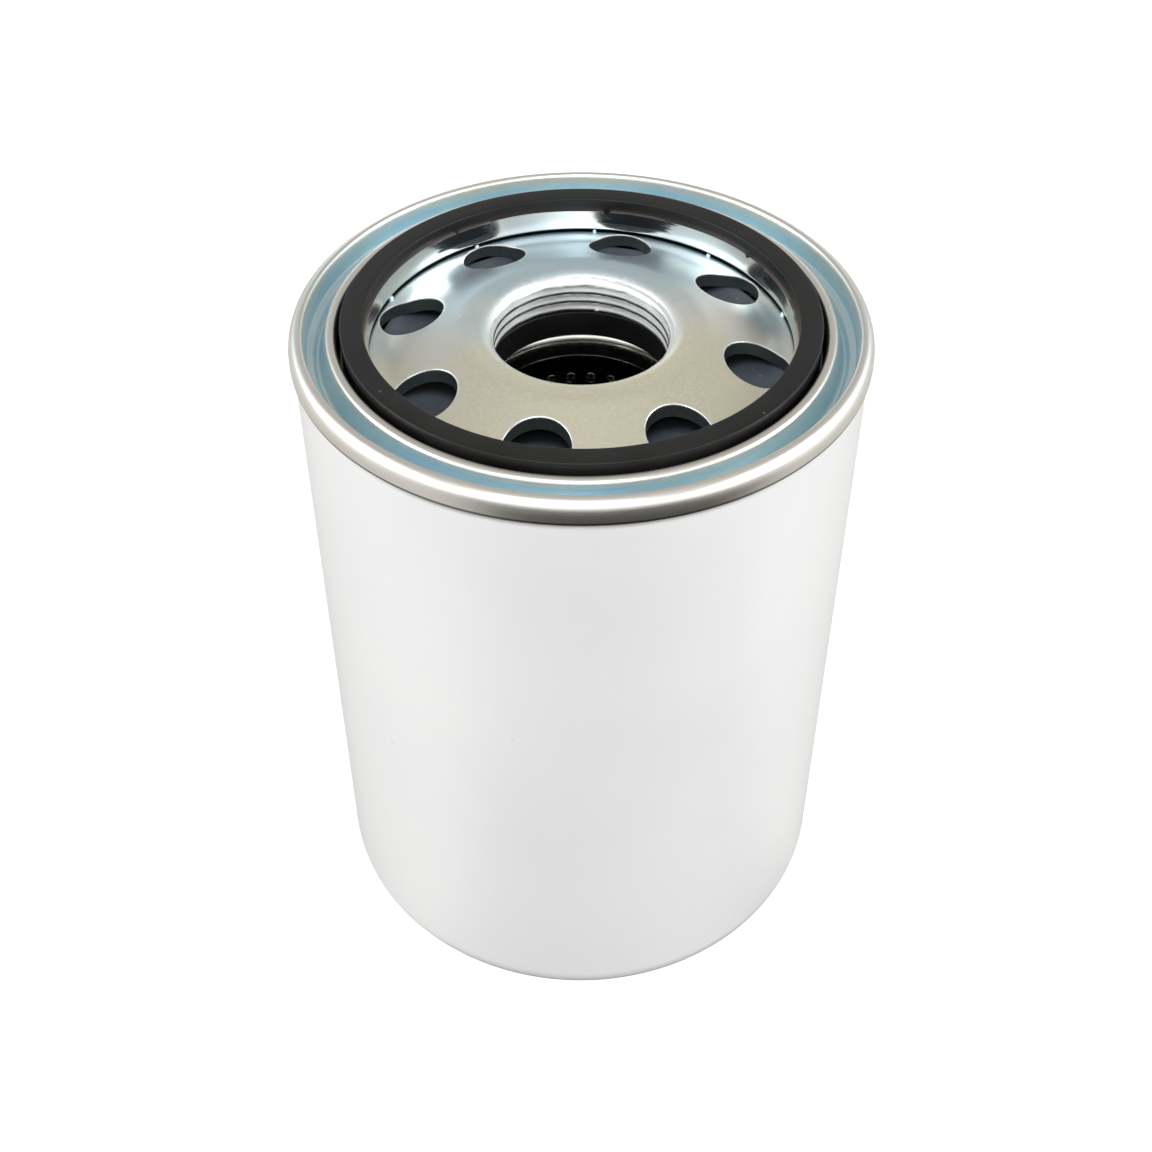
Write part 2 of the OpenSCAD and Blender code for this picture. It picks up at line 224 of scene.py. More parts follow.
LIP_R = 48.3
# Each split: its turn in degrees, its half width in degrees, its depth
TEARS = [(82.5, 0.55, 1.5), (35.0, 0.5, 1.2), (3.0, 1.6, 0.5), (128.0, 0.4, 0.7), (204.0, 0.5, 0.6)]
for v in lid.data.vertices:
    r, z = math.hypot(v.co.x, v.co.y) / MM, v.co.z / MM
    up_the_lip = (z - crest_z + 6.0) / 4.1
    if r > LIP_R or up_the_lip <= 0:
        continue
    turn = math.degrees(math.atan2(v.co.y, v.co.x)) % 360
    wave = 0.12 * math.sin(math.radians(3 * turn + 40)) + 0.07 * math.sin(math.radians(11 * turn))
    for middle, half, depth in TEARS:
        wave -= depth * math.exp(-(((turn - middle + 180) % 360 - 180) / half) ** 2)
    v.co.z += wave * MM * up_the_lip ** 3
print("lid:", len(lid.data.polygons), "faces,", len(TEARS), "splits in the lip")

# %% [markdown]
# ## The baseplate
# This is the strong part: 3.3 mm plate, dished, with eight punched inlet holes and a neck drawn inwards and
# threaded. Holes through a curved plate are awkward for a boolean, which leaves long thin triangles that
# shade badly. Instead each hole gets its own fan of quads: straight rays run from the hole's rim to the edge
# of its 45 degree sector. Heights are looked up on the plate's own profile, so the fans fit the cone. The
# punched edges are rounded by a third of a millimetre, which is what makes them glint.

# %% Plate profile
HOLES, HOLE_R, HOLE_PITCH_R, HOLE_TURN = 8, 7.3, 39.6, 76.3
IN_R, OUT_R, EDGE = 29.0, 50.0, 0.35
NECK_ROUND = 4.2
slope = 16.3
rise = math.tan(math.radians(slope))
flange_z = floor_z - lid_sheet
hole_z = crest_z - 6.67
neck_r = 19.476
half_t = plate_t / 2
cone_in = HOLE_PITCH_R + (hole_z - crown_z) / rise
cone_out = HOLE_PITCH_R + (hole_z - flange_z) / rise
plate_path = (
    [(neck_r + half_t, neck_z)]
    + arc(neck_r + NECK_ROUND, crown_z - NECK_ROUND, NECK_ROUND - half_t, NECK_ROUND - half_t, 180, 90, 24)
    + arc(cone_in - 1, crown_z - half_t - 12, 12, 12, 88, 90 - slope, 8)
    + arc(cone_out + 1.2, flange_z - half_t + 8, 8, 8, 270 - slope, 270, 10)
    + [(plate_r, flange_z - half_t)])
top_line = offset(plate_path, half_t)
low_line = offset(plate_path, -half_t)


def plate_height(line, x, y):
    """Height of the plate's upper or lower line over the point (x, y)."""
    keep = line[:, 0] > 24.5
    return np.interp(np.hypot(x, y), line[keep, 0], line[keep, 1])


def sector_rim(count=32, side=14):
    """Points round the edge of one hole's sector, counter-clockwise from its outer right corner."""
    lean = math.radians(180 / HOLES)
    out = [(OUT_R * math.cos(a), OUT_R * math.sin(a)) for a in np.linspace(-lean, lean, count + 1)]
    left = [(r * math.cos(lean), r * math.sin(lean)) for r in np.linspace(OUT_R, IN_R, side + 1)]
    inn = [(IN_R * math.cos(a), IN_R * math.sin(a)) for a in np.linspace(lean, -lean, count + 1)]
    right = [(r * math.cos(lean), -r * math.sin(lean)) for r in np.linspace(IN_R, OUT_R, side + 1)]
    return np.array(out[:-1] + left[:-1] + inn[:-1] + right[:-1])


def hole_fan():
    """Rings of points from the sector's edge over the top, down the hole's wall and back underneath."""
    rim = sector_rim()
    away = rim - [HOLE_PITCH_R, 0]
    reach = np.linalg.norm(away, axis=1)
    ray = away / reach[:, None]
    rings = []

    def ring(dist, line, drop):
        """One ring of points at these distances from the hole's middle, dropped below the line."""
        xy = np.array([HOLE_PITCH_R, 0]) + ray * np.asarray(dist)[..., None]
        rings.append(np.column_stack([xy, plate_height(line, xy[:, 0], xy[:, 1]) - drop]))

    def round_edge(line, angles, down):
        for a in np.radians(angles):
            ring(np.full(len(ray), HOLE_R + EDGE - EDGE * math.sin(a)), line, down * EDGE * (1 - math.cos(a)))

    steps = np.linspace(1, 0, 13) ** 1.4
    for t in steps:
        ring(HOLE_R + EDGE + (reach - HOLE_R - EDGE) * t, top_line, 0.0)
    round_edge(top_line, (22.5, 45, 67.5, 90), 1)
    wall_top = len(rings) - 1
    round_edge(low_line, (90, 67.5, 45, 22.5, 0), -1)
    wall_drop = rings[wall_top + 1] - rings[wall_top]
    rings[wall_top + 1:wall_top + 1] = [rings[wall_top] + wall_drop * t for t in (0.2, 0.4, 0.6, 0.8)]
    for t in steps[::-1][1:]:
        ring(HOLE_R + EDGE + (reach - HOLE_R - EDGE) * t, low_line, 0.0)
    return np.array(rings)


# %% Plate mesh
verts, faces = [], []


def join_part(points, quads):
    """Adds one strip of the plate to the lists."""
    first = sum(len(v) for v in verts)
    verts.append(points)
    faces.extend([tuple(i + first for i in q) for q in quads])


fan = hole_fan()
ring_count, rim_count = fan.shape[:2]
fan_quads = [(i * rim_count + j, i * rim_count + (j + 1) % rim_count,
              (i + 1) * rim_count + (j + 1) % rim_count, (i + 1) * rim_count + j)
             for i in range(ring_count - 1) for j in range(rim_count)]
for k in range(HOLES):
    a = math.radians(HOLE_TURN + k * 360 / HOLES)
    spin = np.array([[math.cos(a), -math.sin(a), 0], [math.sin(a), math.cos(a), 0], [0, 0, 1]])
    join_part(fan.reshape(-1, 3) @ spin.T, fan_quads)

start = math.radians(HOLE_TURN - 180 / HOLES)
mouth_z = crown_z - NECK_ROUND
bore_rows = [(neck_r, z) for z in np.linspace(mouth_z, neck_z + 0.3, 48)]
mouth = arc(neck_r + NECK_ROUND, mouth_z, NECK_ROUND, NECK_ROUND, 90, 180, 44)
crown = [(r, float(plate_height(top_line, r, 0))) for r in (IN_R, 28, 27, 26, 25, 24.6)]
under = low_line[low_line[:, 0] < IN_R - 0.3]
inner = (
    crown + mouth[:-1] + bore_rows + [(neck_r + 0.3, neck_z)]
    + [(r, neck_z) for r in (20.4, 21, 21.6, 22.4)]
    + [tuple(p) for p in under[1:]] + [(IN_R, float(plate_height(low_line, IN_R, 0)))])
flange_low = flange_z - plate_t
outer = [
    (OUT_R, flange_z), (53, flange_z), (57, flange_z), (plate_r - 0.3, flange_z), (plate_r, flange_z - 0.3),
    (plate_r, flange_low + 0.3), (plate_r - 0.3, flange_low), (57, flange_low), (OUT_R, flange_low)]
for strip in (inner, outer):
    join_part(*turned_grid(strip, HOLES * 32, closed=False, start=start))
plate = make_object("plate_body", np.vstack(verts), faces)
loose = sum(1 for e in plate.data.edges if e.is_loose)
print("plate:", len(plate.data.polygons), "faces,", loose, "loose edges")

# %% [markdown]
# ## Helpers for node trees
# The rest of the shapes repeat or follow a rule, so they are Geometry Nodes trees, and every finish is a
# shader tree. Both kinds are built with the same few helpers. `put` adds a node and fills its sockets: a
# socket that is given another node's output gets a link, and anything else is set as its value.

# %% Node helpers
def put(tree, kind, ins=None, **settings):
    """One node. Its settings come first, because they decide which sockets it has."""
    n = tree.nodes.new(kind)
    for key, value in settings.items():
        setattr(n, key, value)
    for key, value in (ins or {}).items():
        if isinstance(value, bpy.types.NodeSocket):
            tree.links.new(value, n.inputs[key])
        else:
            n.inputs[key].default_value = value
    return n


def calc(tree, how, a, b=0.0, clamp=False):
    """One Math node."""
    return put(tree, "ShaderNodeMath", {0: a, 1: b}, operation=how, use_clamp=clamp).outputs[0]


def remap(tree, value, a, b, c=0.0, d=1.0, how="SMOOTHSTEP"):
    """The value's range a to b, moved to c to d and held there."""
    ins = {"Value": value, "From Min": a, "From Max": b, "To Min": c, "To Max": d}
    return put(tree, "ShaderNodeMapRange", ins, interpolation_type=how, clamp=True).outputs[0]


def tree_with(kind, name, ins, outs):
    """An empty node group with named inputs and outputs, and its two end nodes."""
    tree = bpy.data.node_groups.new(name, kind)
    for label, socket, value in ins:
        s = tree.interface.new_socket(label, in_out="INPUT", socket_type="NodeSocket" + socket)
        if value is not None:
            s.default_value = value
    for label, socket in outs:
        tree.interface.new_socket(label, in_out="OUTPUT", socket_type="NodeSocket" + socket)
    return tree, tree.nodes.new("NodeGroupInput").outputs, tree.nodes.new("NodeGroupOutput").inputs


def shape_tree(name, ins):
    """A Geometry Nodes group that takes a mesh and gives one back."""
    ins = [("Geometry", "Geometry", None)] + ins + [("Material", "Material", None)]
    return tree_with("GeometryNodeTree", name, ins, [("Geometry", "Geometry")])


def close_tree(tree, mesh, get, give):
    """Ends a shape tree: real mesh, smooth shading, material."""
    real = put(tree, "GeometryNodeRealizeInstances", {0: mesh}).outputs[0]
    smooth = put(tree, "GeometryNodeSetShadeSmooth", {"Geometry": real}).outputs[0]
    done = put(tree, "GeometryNodeSetMaterial", {"Geometry": smooth, "Material": get["Material"]})
    tree.links.new(done.outputs[0], give[0])


def grow(obj, tree, values):
    """Runs a shape tree on an object with these values and keeps the result as a plain mesh."""
    mod = obj.modifiers.new(tree.name, "NODES")
    mod.node_group = tree
    for item in tree.interface.items_tree:
        if item.in_out == "INPUT" and item.name in values:
            mod[item.identifier] = values[item.name]
    now = obj.evaluated_get(bpy.context.evaluated_depsgraph_get())
    mesh = bpy.data.meshes.new_from_object(now)
    obj.modifiers.remove(mod)
    obj.data = mesh
    mesh.set_sharp_from_angle(angle=math.radians(40))
    print(f"{obj.name}: {len(mesh.polygons)} faces from {tree.name}")
    return obj


def empty_object(name):
    """An object with no points, for trees that make everything themselves."""
    obj = bpy.data.objects.new(name, bpy.data.meshes.new(name))
    bpy.context.scene.collection.objects.link(obj)
    return obj


materials = {name: bpy.data.materials.new(name) for name in (
    "white_paint", "zinc_lid", "zinc_plate", "nitrile", "valve_rubber", "sealant", "tinplate",
    "potting", "media", "spring_steel", "valve_brass")}

# %% [markdown]
# ## Cutting the thread
# The neck's bore was made plain, at the thread's minor diameter, with fine rows of points. The thread is
# cut by moving those points outwards by a rule: the height in pitches minus the turn round the axis gives
# the place within one groove, and the groove gets straight flanks that leave only a narrow crest. Points
# that already lie further out than the groove, such as those on the rounded mouth, stay where they are, so
# the thread runs out into the mouth by itself.

# %% Thread
PITCH, THREAD_DEPTH = 2.309, 1.479
tree, get, give = shape_tree("Cut Thread", [
    ("Pitch", "Float", PITCH * MM), ("Minor Radius", "Float", neck_r * MM),
    ("Depth", "Float", THREAD_DEPTH * MM)])
place = put(tree, "GeometryNodeInputPosition").outputs[0]
axes = put(tree, "ShaderNodeSeparateXYZ", {0: place}).outputs
flat = put(tree, "ShaderNodeCombineXYZ", {0: axes[0], 1: axes[1]}).outputs[0]
radius = put(tree, "ShaderNodeVectorMath", {0: flat}, operation="LENGTH").outputs["Value"]
turns = calc(tree, "DIVIDE", calc(tree, "ARCTAN2", axes[1], axes[0]), math.tau)
phase = calc(tree, "FRACT", calc(tree, "SUBTRACT", calc(tree, "DIVIDE", axes[2], get["Pitch"]), turns))
flank = calc(tree, "ABSOLUTE", calc(tree, "SUBTRACT", phase, 0.5))
groove = remap(tree, flank, 0.0, 0.41, 1.0, 0.0, "LINEAR")
target = calc(tree, "ADD", get["Minor Radius"], calc(tree, "MULTIPLY", get["Depth"], groove))
grown = calc(tree, "DIVIDE", calc(tree, "MAXIMUM", radius, target), radius)
push = put(tree, "ShaderNodeVectorMath", {0: flat, "Scale": calc(tree, "SUBTRACT", grown, 1.0)},
           operation="SCALE").outputs[0]
moved = put(tree, "GeometryNodeSetPosition", {"Geometry": get["Geometry"], "Offset": push}).outputs[0]
close_tree(tree, moved, get, give)
grow(plate, tree, {"Pitch": PITCH * MM, "Minor Radius": neck_r * MM, "Depth": THREAD_DEPTH * MM,
                   "Material": materials["zinc_plate"]})

# %% [markdown]
# ## Weld beads
# The lid is joined to the plate by a ring of small projection welds. Each leaves a little pressed bead at
# the foot of the lip. Ten instances on a circle do this, each with its own turn and size from a fixed
# seed, and a noise that makes the beads uneven.

# %% Welds
tree, get, give = shape_tree("Weld Ring", [
    ("Count", "Int", 10), ("Radius", "Float", 0.04775), ("Turn", "Float", 0.2426),
    ("Bead", "Float", 0.0008), ("Height", "Float", 0.0), ("Seed", "Int", 7)])
points = put(tree, "GeometryNodeMeshCircle", {"Vertices": get["Count"], "Radius": get["Radius"]}).outputs[0]
spin = put(tree, "ShaderNodeCombineXYZ", {2: get["Turn"]}).outputs[0]
lift = put(tree, "ShaderNodeCombineXYZ", {2: get["Height"]}).outputs[0]
points = put(tree, "GeometryNodeTransform", {"Geometry": points, "Rotation": spin,
                                             "Translation": lift}).outputs[0]
bead = put(tree, "GeometryNodeMeshUVSphere", {"Segments": 20, "Rings": 12, "Radius": get["Bead"]}).outputs[0]
size = put(tree, "FunctionNodeRandomValue", {2: 0.8, 3: 1.1, "Seed": get["Seed"]}, data_type="FLOAT")
roll = put(tree, "FunctionNodeRandomValue", {2: 0.0, 3: 6.28, "Seed": get["Seed"]}, data_type="FLOAT")
turned = put(tree, "ShaderNodeCombineXYZ", {2: roll.outputs[1]}).outputs[0]
beads = put(tree, "GeometryNodeInstanceOnPoints", {"Points": points, "Instance": bead, "Rotation": turned,
                                                   "Scale": size.outputs[1]}).outputs[0]
beads = put(tree, "GeometryNodeRealizeInstances", {0: beads}).outputs[0]
rough = put(tree, "ShaderNodeTexNoise", {"Scale": 900.0, "Detail": 2.0}).outputs["Color"]
rough = put(tree, "ShaderNodeVectorMath", {0: rough, 1: (0.5, 0.5, 0.5)}, operation="SUBTRACT").outputs[0]
rough = put(tree, "ShaderNodeVectorMath", {0: rough, "Scale": 0.0005}, operation="SCALE").outputs[0]
beads = put(tree, "GeometryNodeSetPosition", {"Geometry": beads, "Offset": rough}).outputs[0]
close_tree(tree, beads, get, give)
welds = grow(empty_object("weld_beads"), tree, {
    "Count": 10, "Radius": 47.75 * MM, "Turn": math.radians(13.9), "Bead": 0.85 * MM,
    "Height": flange_z * MM, "Seed": 7, "Material": materials["zinc_plate"]})

# %% [markdown]
# ## Rubber parts
# The gasket is square-cut: a moulded tube sliced on a lathe, so its corners are nearly sharp, and only a
# hair of rounding catches the light. Below the neck sits the anti-drain valve. Its root is squeezed between
# the neck and the element, and its thin web closes the eight holes from underneath when the engine stops.

# %% Gasket and anti-drain valve
a, b = 48.0, gasket_r
gasket = revolve("gasket_ring", (
    arc(a + 1.1, floor_z + 1.1, 1.1, 1.1, 180, 270, 8) + arc(b - 1.1, floor_z + 1.1, 1.1, 1.1, 270, 360, 8)
    + [(b, floor_z + z) for z in (2.5, 4.0, 5.5)]
    + arc(b - 0.4, gasket_z - 0.4, 0.4, 0.4, 0, 90, 6) + [(b - 1.8, gasket_z), (a + 1.8, gasket_z)]
    + arc(a + 0.4, gasket_z - 0.4, 0.4, 0.4, 90, 180, 6) + [(a, floor_z + z) for z in (5.5, 4.0, 2.5)]), 256)
grip_r = neck_r + plate_t + 0.2
collar = revolve("collar_root", (
    [(20.3, top_cap_z + 0.05), (26.4, top_cap_z + 0.05)]
    + arc(26.5, top_cap_z + 0.55, 0.5, 0.5, 270, 360, 5)
    + arc(26.5, neck_z + 1.7, 0.5, 0.5, 0, 60, 4)
    + [(grip_r + 0.8, neck_z + 3), (grip_r, neck_z + 3), (grip_r, neck_z - 0.05)]
    + arc(20.8, neck_z - 0.55, 0.5, 0.5, 90, 180, 5)
    + [(20.3, z) for z in (154.5, 152.5)]))
web_z = neck_z + 0.6
flap = revolve("flap_web", (
    [(27.3, web_z - 1.5), (flap_r - 4, web_z - 1.5)]
    + arc(flap_r - 0.8, flap_high - 1.3, 0.8, 0.8, 300, 360, 5)
    + arc(flap_r - 0.3, flap_high - 0.3, 0.3, 0.3, 0, 90, 4)
    + [(flap_r - 1.6, flap_high), (flap_r - 4.4, web_z), (36, web_z), (30, web_z), (27.3, web_z)]))

# %% [markdown]
# ## Element: end caps and perforated tube
# The element's top cap has a rounded collar that guides the oil out. It is the bright band that shows deep
# in the neck. The perforated tube behind it is punched flat and then rolled up, and the model is made the
# same way: one tile with a hole, repeated on a flat grid, welded, and bent round the axis.

# %% End caps
h = cap_sheet / 2
top_cap = revolve("cap_top", sheet(
    [(21.68, top_cap_z - 6.75), (21.74, top_cap_z - 6.6), (21.5 + h, top_cap_z - 6.3),
     (21.5 + h, top_cap_z - 5.6), (21.5 + h, top_cap_z - 5)]
    + arc(25.1, top_cap_z - 4.4, 3.6 - h, 4.4 - h, 180, 90, 16)
    + [(30, top_cap_z - h), (34, top_cap_z - h)]
    + arc(36, top_cap_z - h - 2, 2, 2, 90, 60, 4) + arc(38, top_cap_z - h + 1.46, 2, 2, 240, 270, 4)
    + [(44, top_cap_z - h - 0.54), (48, top_cap_z - h - 0.54)]
    + arc(cap_r - 1.8, top_cap_z - 2.34, 1.8 - h, 1.8 - h, 90, 0, 8)
    + [(cap_r - h, top_cap_z - 5), (cap_r - h, top_cap_z - 8.5)], cap_sheet), 192)
low_cap = revolve("cap_bottom", sheet(
    [(15.05, bottom_cap_z + h), (23, bottom_cap_z + h), (40, bottom_cap_z + h)]
    + arc(cap_r - 1.8, bottom_cap_z + 1.8, 1.8 - h, 1.8 - h, 270, 360, 8)
    + [(cap_r - h, bottom_cap_z + 8.5)], cap_sheet), 192)

# %% Perforated tube
AROUND, ROWS, PUNCH = 30, 20, 1.25
wide = math.tau * (tube_r - 0.3) / AROUND
tall = 4.9


def tile():
    """One flat tile with a punched hole and its raised burr, 16 points to each rim."""
    sides = []
    for k in range(4):
        c, s = [(1, 0), (0, 1), (-1, 0), (0, -1)][k]
        for t in (-1, -0.5, 0, 0.5):
            sides.append((c - s * t, s + c * t))
    edge = np.array(sides) * [wide / 2, tall / 2]
    hole = np.array([(math.cos(a), math.sin(a)) for a in np.arctan2(edge[:, 1], edge[:, 0])]) * PUNCH
    lip = hole * (1 + 0.28 / PUNCH)
    rings = [(edge, 0.3), (hole, 0.3), (hole, -0.48), (lip, -0.3), (edge, -0.3)]
    points = np.vstack([np.column_stack([xy[:, 0], np.full(16, y), xy[:, 1]]) for xy, y in rings])
    quads = [(i * 16 + j, i * 16 + (j + 1) % 16, (i + 1) * 16 + (j + 1) % 16, (i + 1) * 16 + j)
             for i in range(4) for j in range(16)]
    return points, quads


tree, get, give = shape_tree("Rolled Perforated Tube", [
    ("Around", "Int", 30), ("Rows", "Int", 20), ("Tile Width", "Float", 0.005),
    ("Tile Height", "Float", 0.0049), ("Radius", "Float", 0.0238), ("Start Height", "Float", 0.04)])
line = put(tree, "GeometryNodeMeshLine", {
    "Count": get["Around"],
    "Offset": put(tree, "ShaderNodeCombineXYZ", {0: get["Tile Width"]}).outputs[0]}).outputs[0]
column = put(tree, "GeometryNodeMeshLine", {
    "Count": get["Rows"],
    "Start Location": put(tree, "ShaderNodeCombineXYZ", {2: get["Start Height"]}).outputs[0],
    "Offset": put(tree, "ShaderNodeCombineXYZ", {2: get["Tile Height"]}).outputs[0]}).outputs[0]
row = put(tree, "GeometryNodeInstanceOnPoints", {"Points": line, "Instance": get["Geometry"]}).outputs[0]
row = put(tree, "GeometryNodeRealizeInstances", {0: row}).outputs[0]
net = put(tree, "GeometryNodeInstanceOnPoints", {"Points": column, "Instance": row}).outputs[0]
net = put(tree, "GeometryNodeRealizeInstances", {0: net}).outputs[0]
axes = put(tree, "ShaderNodeSeparateXYZ", {0: put(tree, "GeometryNodeInputPosition").outputs[0]}).outputs
angle = calc(tree, "DIVIDE", axes[0], get["Radius"])
out = calc(tree, "ADD", get["Radius"], axes[1])
bent = put(tree, "ShaderNodeCombineXYZ", {0: calc(tree, "MULTIPLY", out, calc(tree, "COSINE", angle)),
                                          1: calc(tree, "MULTIPLY", out, calc(tree, "SINE", angle)),
                                          2: axes[2]}).outputs[0]
net = put(tree, "GeometryNodeSetPosition", {"Geometry": net, "Position": bent}).outputs[0]
net = put(tree, "GeometryNodeMergeByDistance", {"Geometry": net, "Distance": 2e-5}).outputs[0]
close_tree(tree, net, get, give)
tube = make_object("tube_net", *tile())
first_row = tube_high - 13.1
grow(tube, tree, {"Around": AROUND, "Rows": ROWS, "Tile Width": wide * MM, "Tile Height": tall * MM,
                  "Radius": (tube_r - 0.3) * MM, "Start Height": (first_row - (ROWS - 1) * tall) * MM,
                  "Material": materials["tinplate"]})
net_low, net_high = first_row - (ROWS - 0.5) * tall, first_row + tall / 2
bands = [revolve(name, [(tube_r - 0.6, low), (tube_r, low), (tube_r, high), (tube_r - 0.6, high)], AROUND * 4)
         for name, low, high in (("tube_top", net_high, tube_high), ("tube_low", tube_low, net_low))]

# %% [markdown]
# ## Pleated media
# Filter paper is folded like an accordion to pack a large area into a small can. The rule is a triangle
# wave in radius, with the tips held flat for a moment so that the folds look pressed and not razor sharp.
# The wall of edges is pulled up to height, thickened, and its back is closed with a flipped copy.

# %% Pleats
tree, get, give = shape_tree("Pleated Ring", [
    ("Pleats", "Int", 72), ("Inner Radius", "Float", 0.0246), ("Outer Radius", "Float", 0.0539),
    ("Height", "Float", 0.112), ("Thickness", "Float", 0.0007), ("Base", "Float", 0.032)])
count = calc(tree, "MULTIPLY", get["Pleats"], 12.0)
loop = put(tree, "GeometryNodeMeshCircle", {"Vertices": count, "Radius": 1.0}).outputs[0]
place = put(tree, "GeometryNodeInputPosition").outputs[0]
index = put(tree, "GeometryNodeInputIndex").outputs[0]
saw = calc(tree, "FRACT", calc(tree, "DIVIDE", index, 12.0))
wave = calc(tree, "ABSOLUTE", calc(tree, "SUBTRACT", calc(tree, "MULTIPLY", saw, 2.0), 1.0))
wave = remap(tree, wave, 0.1, 0.9, 0.0, 1.0, "LINEAR")
room = calc(tree, "SUBTRACT", get["Outer Radius"], get["Inner Radius"])
radius = calc(tree, "ADD", get["Inner Radius"], calc(tree, "MULTIPLY", wave, room))
out = put(tree, "ShaderNodeVectorMath", {0: place, "Scale": radius}, operation="SCALE").outputs[0]
base = put(tree, "ShaderNodeCombineXYZ", {2: get["Base"]}).outputs[0]
out = put(tree, "ShaderNodeVectorMath", {0: out, 1: base}, operation="ADD").outputs[0]
loop = put(tree, "GeometryNodeSetPosition", {"Geometry": loop, "Position": out}).outputs[0]
up = put(tree, "ShaderNodeCombineXYZ", {2: get["Height"]}).outputs[0]
wall = put(tree, "GeometryNodeExtrudeMesh", {"Mesh": loop, "Offset": up, "Offset Scale": 1.0},
           mode="EDGES").outputs[0]
thick = put(tree, "GeometryNodeExtrudeMesh", {"Mesh": wall, "Offset Scale": get["Thickness"],
                                              "Individual": False}, mode="FACES").outputs[0]
back = put(tree, "GeometryNodeFlipFaces", {"Mesh": wall}).outputs[0]
both = put(tree, "GeometryNodeJoinGeometry")
tree.links.new(thick, both.inputs[0])
tree.links.new(back, both.inputs[0])
whole = put(tree, "GeometryNodeMergeByDistance", {"Geometry": both.outputs[0], "Distance": 1e-6}).outputs[0]
close_tree(tree, whole, get, give)
pleats = grow(empty_object("pleat_pack"), tree, {
    "Pleats": 72, "Inner Radius": (tube_r + 1.3) * MM, "Outer Radius": (pleat_r - 0.8) * MM,
    "Height": (pleat_high - pleat_low) * MM, "Thickness": 0.5 * MM, "Base": pleat_low * MM,
    "Material": materials["media"]})
cords = [revolve(f"pleat_band_{k}", arc(pleat_r + 0.9, pleat_low + k * (pleat_high - pleat_low) / 4,
                                        0.35, 1.5, 0, 337.5, 15), 144) for k in (1, 2, 3)]

# %% [markdown]
# ## Springs
# A compression spring has a closed coil at each end, where the wire lies on itself, and an even pitch
# between. So the height along the wire is three straight ramps in a row: one wire thickness over the first
# turn, most of the climb over the middle turns, and one wire thickness over the last.

# %% Springs
tree, get, give = shape_tree("Closed Coil Spring", [
    ("Mean Radius", "Float", 0.008), ("Wire", "Float", 0.0012), ("Turns", "Float", 6.0),
    ("Bottom", "Float", 0.0), ("Top", "Float", 0.02), ("Steps", "Int", 300)])
path = put(tree, "GeometryNodeMeshLine", {"Count": get["Steps"]}).outputs[0]
index = put(tree, "GeometryNodeInputIndex").outputs[0]
share = calc(tree, "DIVIDE", index, calc(tree, "SUBTRACT", get["Steps"], 1.0))
turn = calc(tree, "MULTIPLY", share, get["Turns"])
climb = calc(tree, "SUBTRACT", calc(tree, "SUBTRACT", get["Top"], get["Bottom"]),
             calc(tree, "MULTIPLY", get["Wire"], 3.0))
middle = calc(tree, "DIVIDE", climb, calc(tree, "SUBTRACT", get["Turns"], 2.0))
last = calc(tree, "SUBTRACT", get["Turns"], 1.0)
ramps = [calc(tree, "MULTIPLY", calc(tree, "MINIMUM", turn, 1.0), get["Wire"]),
         calc(tree, "MULTIPLY", middle, calc(tree, "MINIMUM", calc(tree, "MAXIMUM", calc(
             tree, "SUBTRACT", turn, 1.0), 0.0), calc(tree, "SUBTRACT", get["Turns"], 2.0))),
         calc(tree, "MULTIPLY", calc(tree, "MAXIMUM", calc(tree, "SUBTRACT", turn, last), 0.0), get["Wire"])]
height = calc(tree, "ADD", calc(tree, "ADD", ramps[0], ramps[1]), ramps[2])
height = calc(tree, "ADD", calc(tree, "ADD", height, get["Bottom"]), calc(tree, "MULTIPLY", get["Wire"], 0.5))
angle = calc(tree, "MULTIPLY", turn, math.tau)
helix = put(tree, "ShaderNodeCombineXYZ", {
    0: calc(tree, "MULTIPLY", calc(tree, "COSINE", angle), get["Mean Radius"]),
    1: calc(tree, "MULTIPLY", calc(tree, "SINE", angle), get["Mean Radius"]), 2: height}).outputs[0]
path = put(tree, "GeometryNodeSetPosition", {"Geometry": path, "Position": helix}).outputs[0]
wire = put(tree, "GeometryNodeCurvePrimitiveCircle", {
    "Resolution": 12, "Radius": calc(tree, "MULTIPLY", get["Wire"], 0.5)}).outputs[0]
path = put(tree, "GeometryNodeMeshToCurve", {"Mesh": path}).outputs[0]
coil = put(tree, "GeometryNodeCurveToMesh", {"Curve": path, "Profile Curve": wire,
                                             "Fill Caps": True}).outputs[0]
close_tree(tree, coil, get, give)


def spring(name, node, mean_r, wire_d, turn_count):
    """A coil between the two ends of its CAD node, in millimetres."""
    low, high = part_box(node)
    return grow(empty_object(name), tree, {
        "Mean Radius": mean_r * MM, "Wire": wire_d * MM, "Turns": float(turn_count), "Bottom": low.z,
        "Top": high.z, "Steps": int(48 * turn_count) + 1, "Material": materials["spring_steel"]})


holdup = spring("holdup_coil", "holdup_spring", 24.5, 3.0, 5)
bypass = spring("bypass_coil", "bypass_spring", 8.0, 1.2, 7)

# %% [markdown]
# ## Bypass valve
# If the media clogs, oil must still flow. The poppet in the bottom cap then lifts off its turned seat
# against its spring. The seat and poppet are brass turnings with small chamfers where a tool left them.

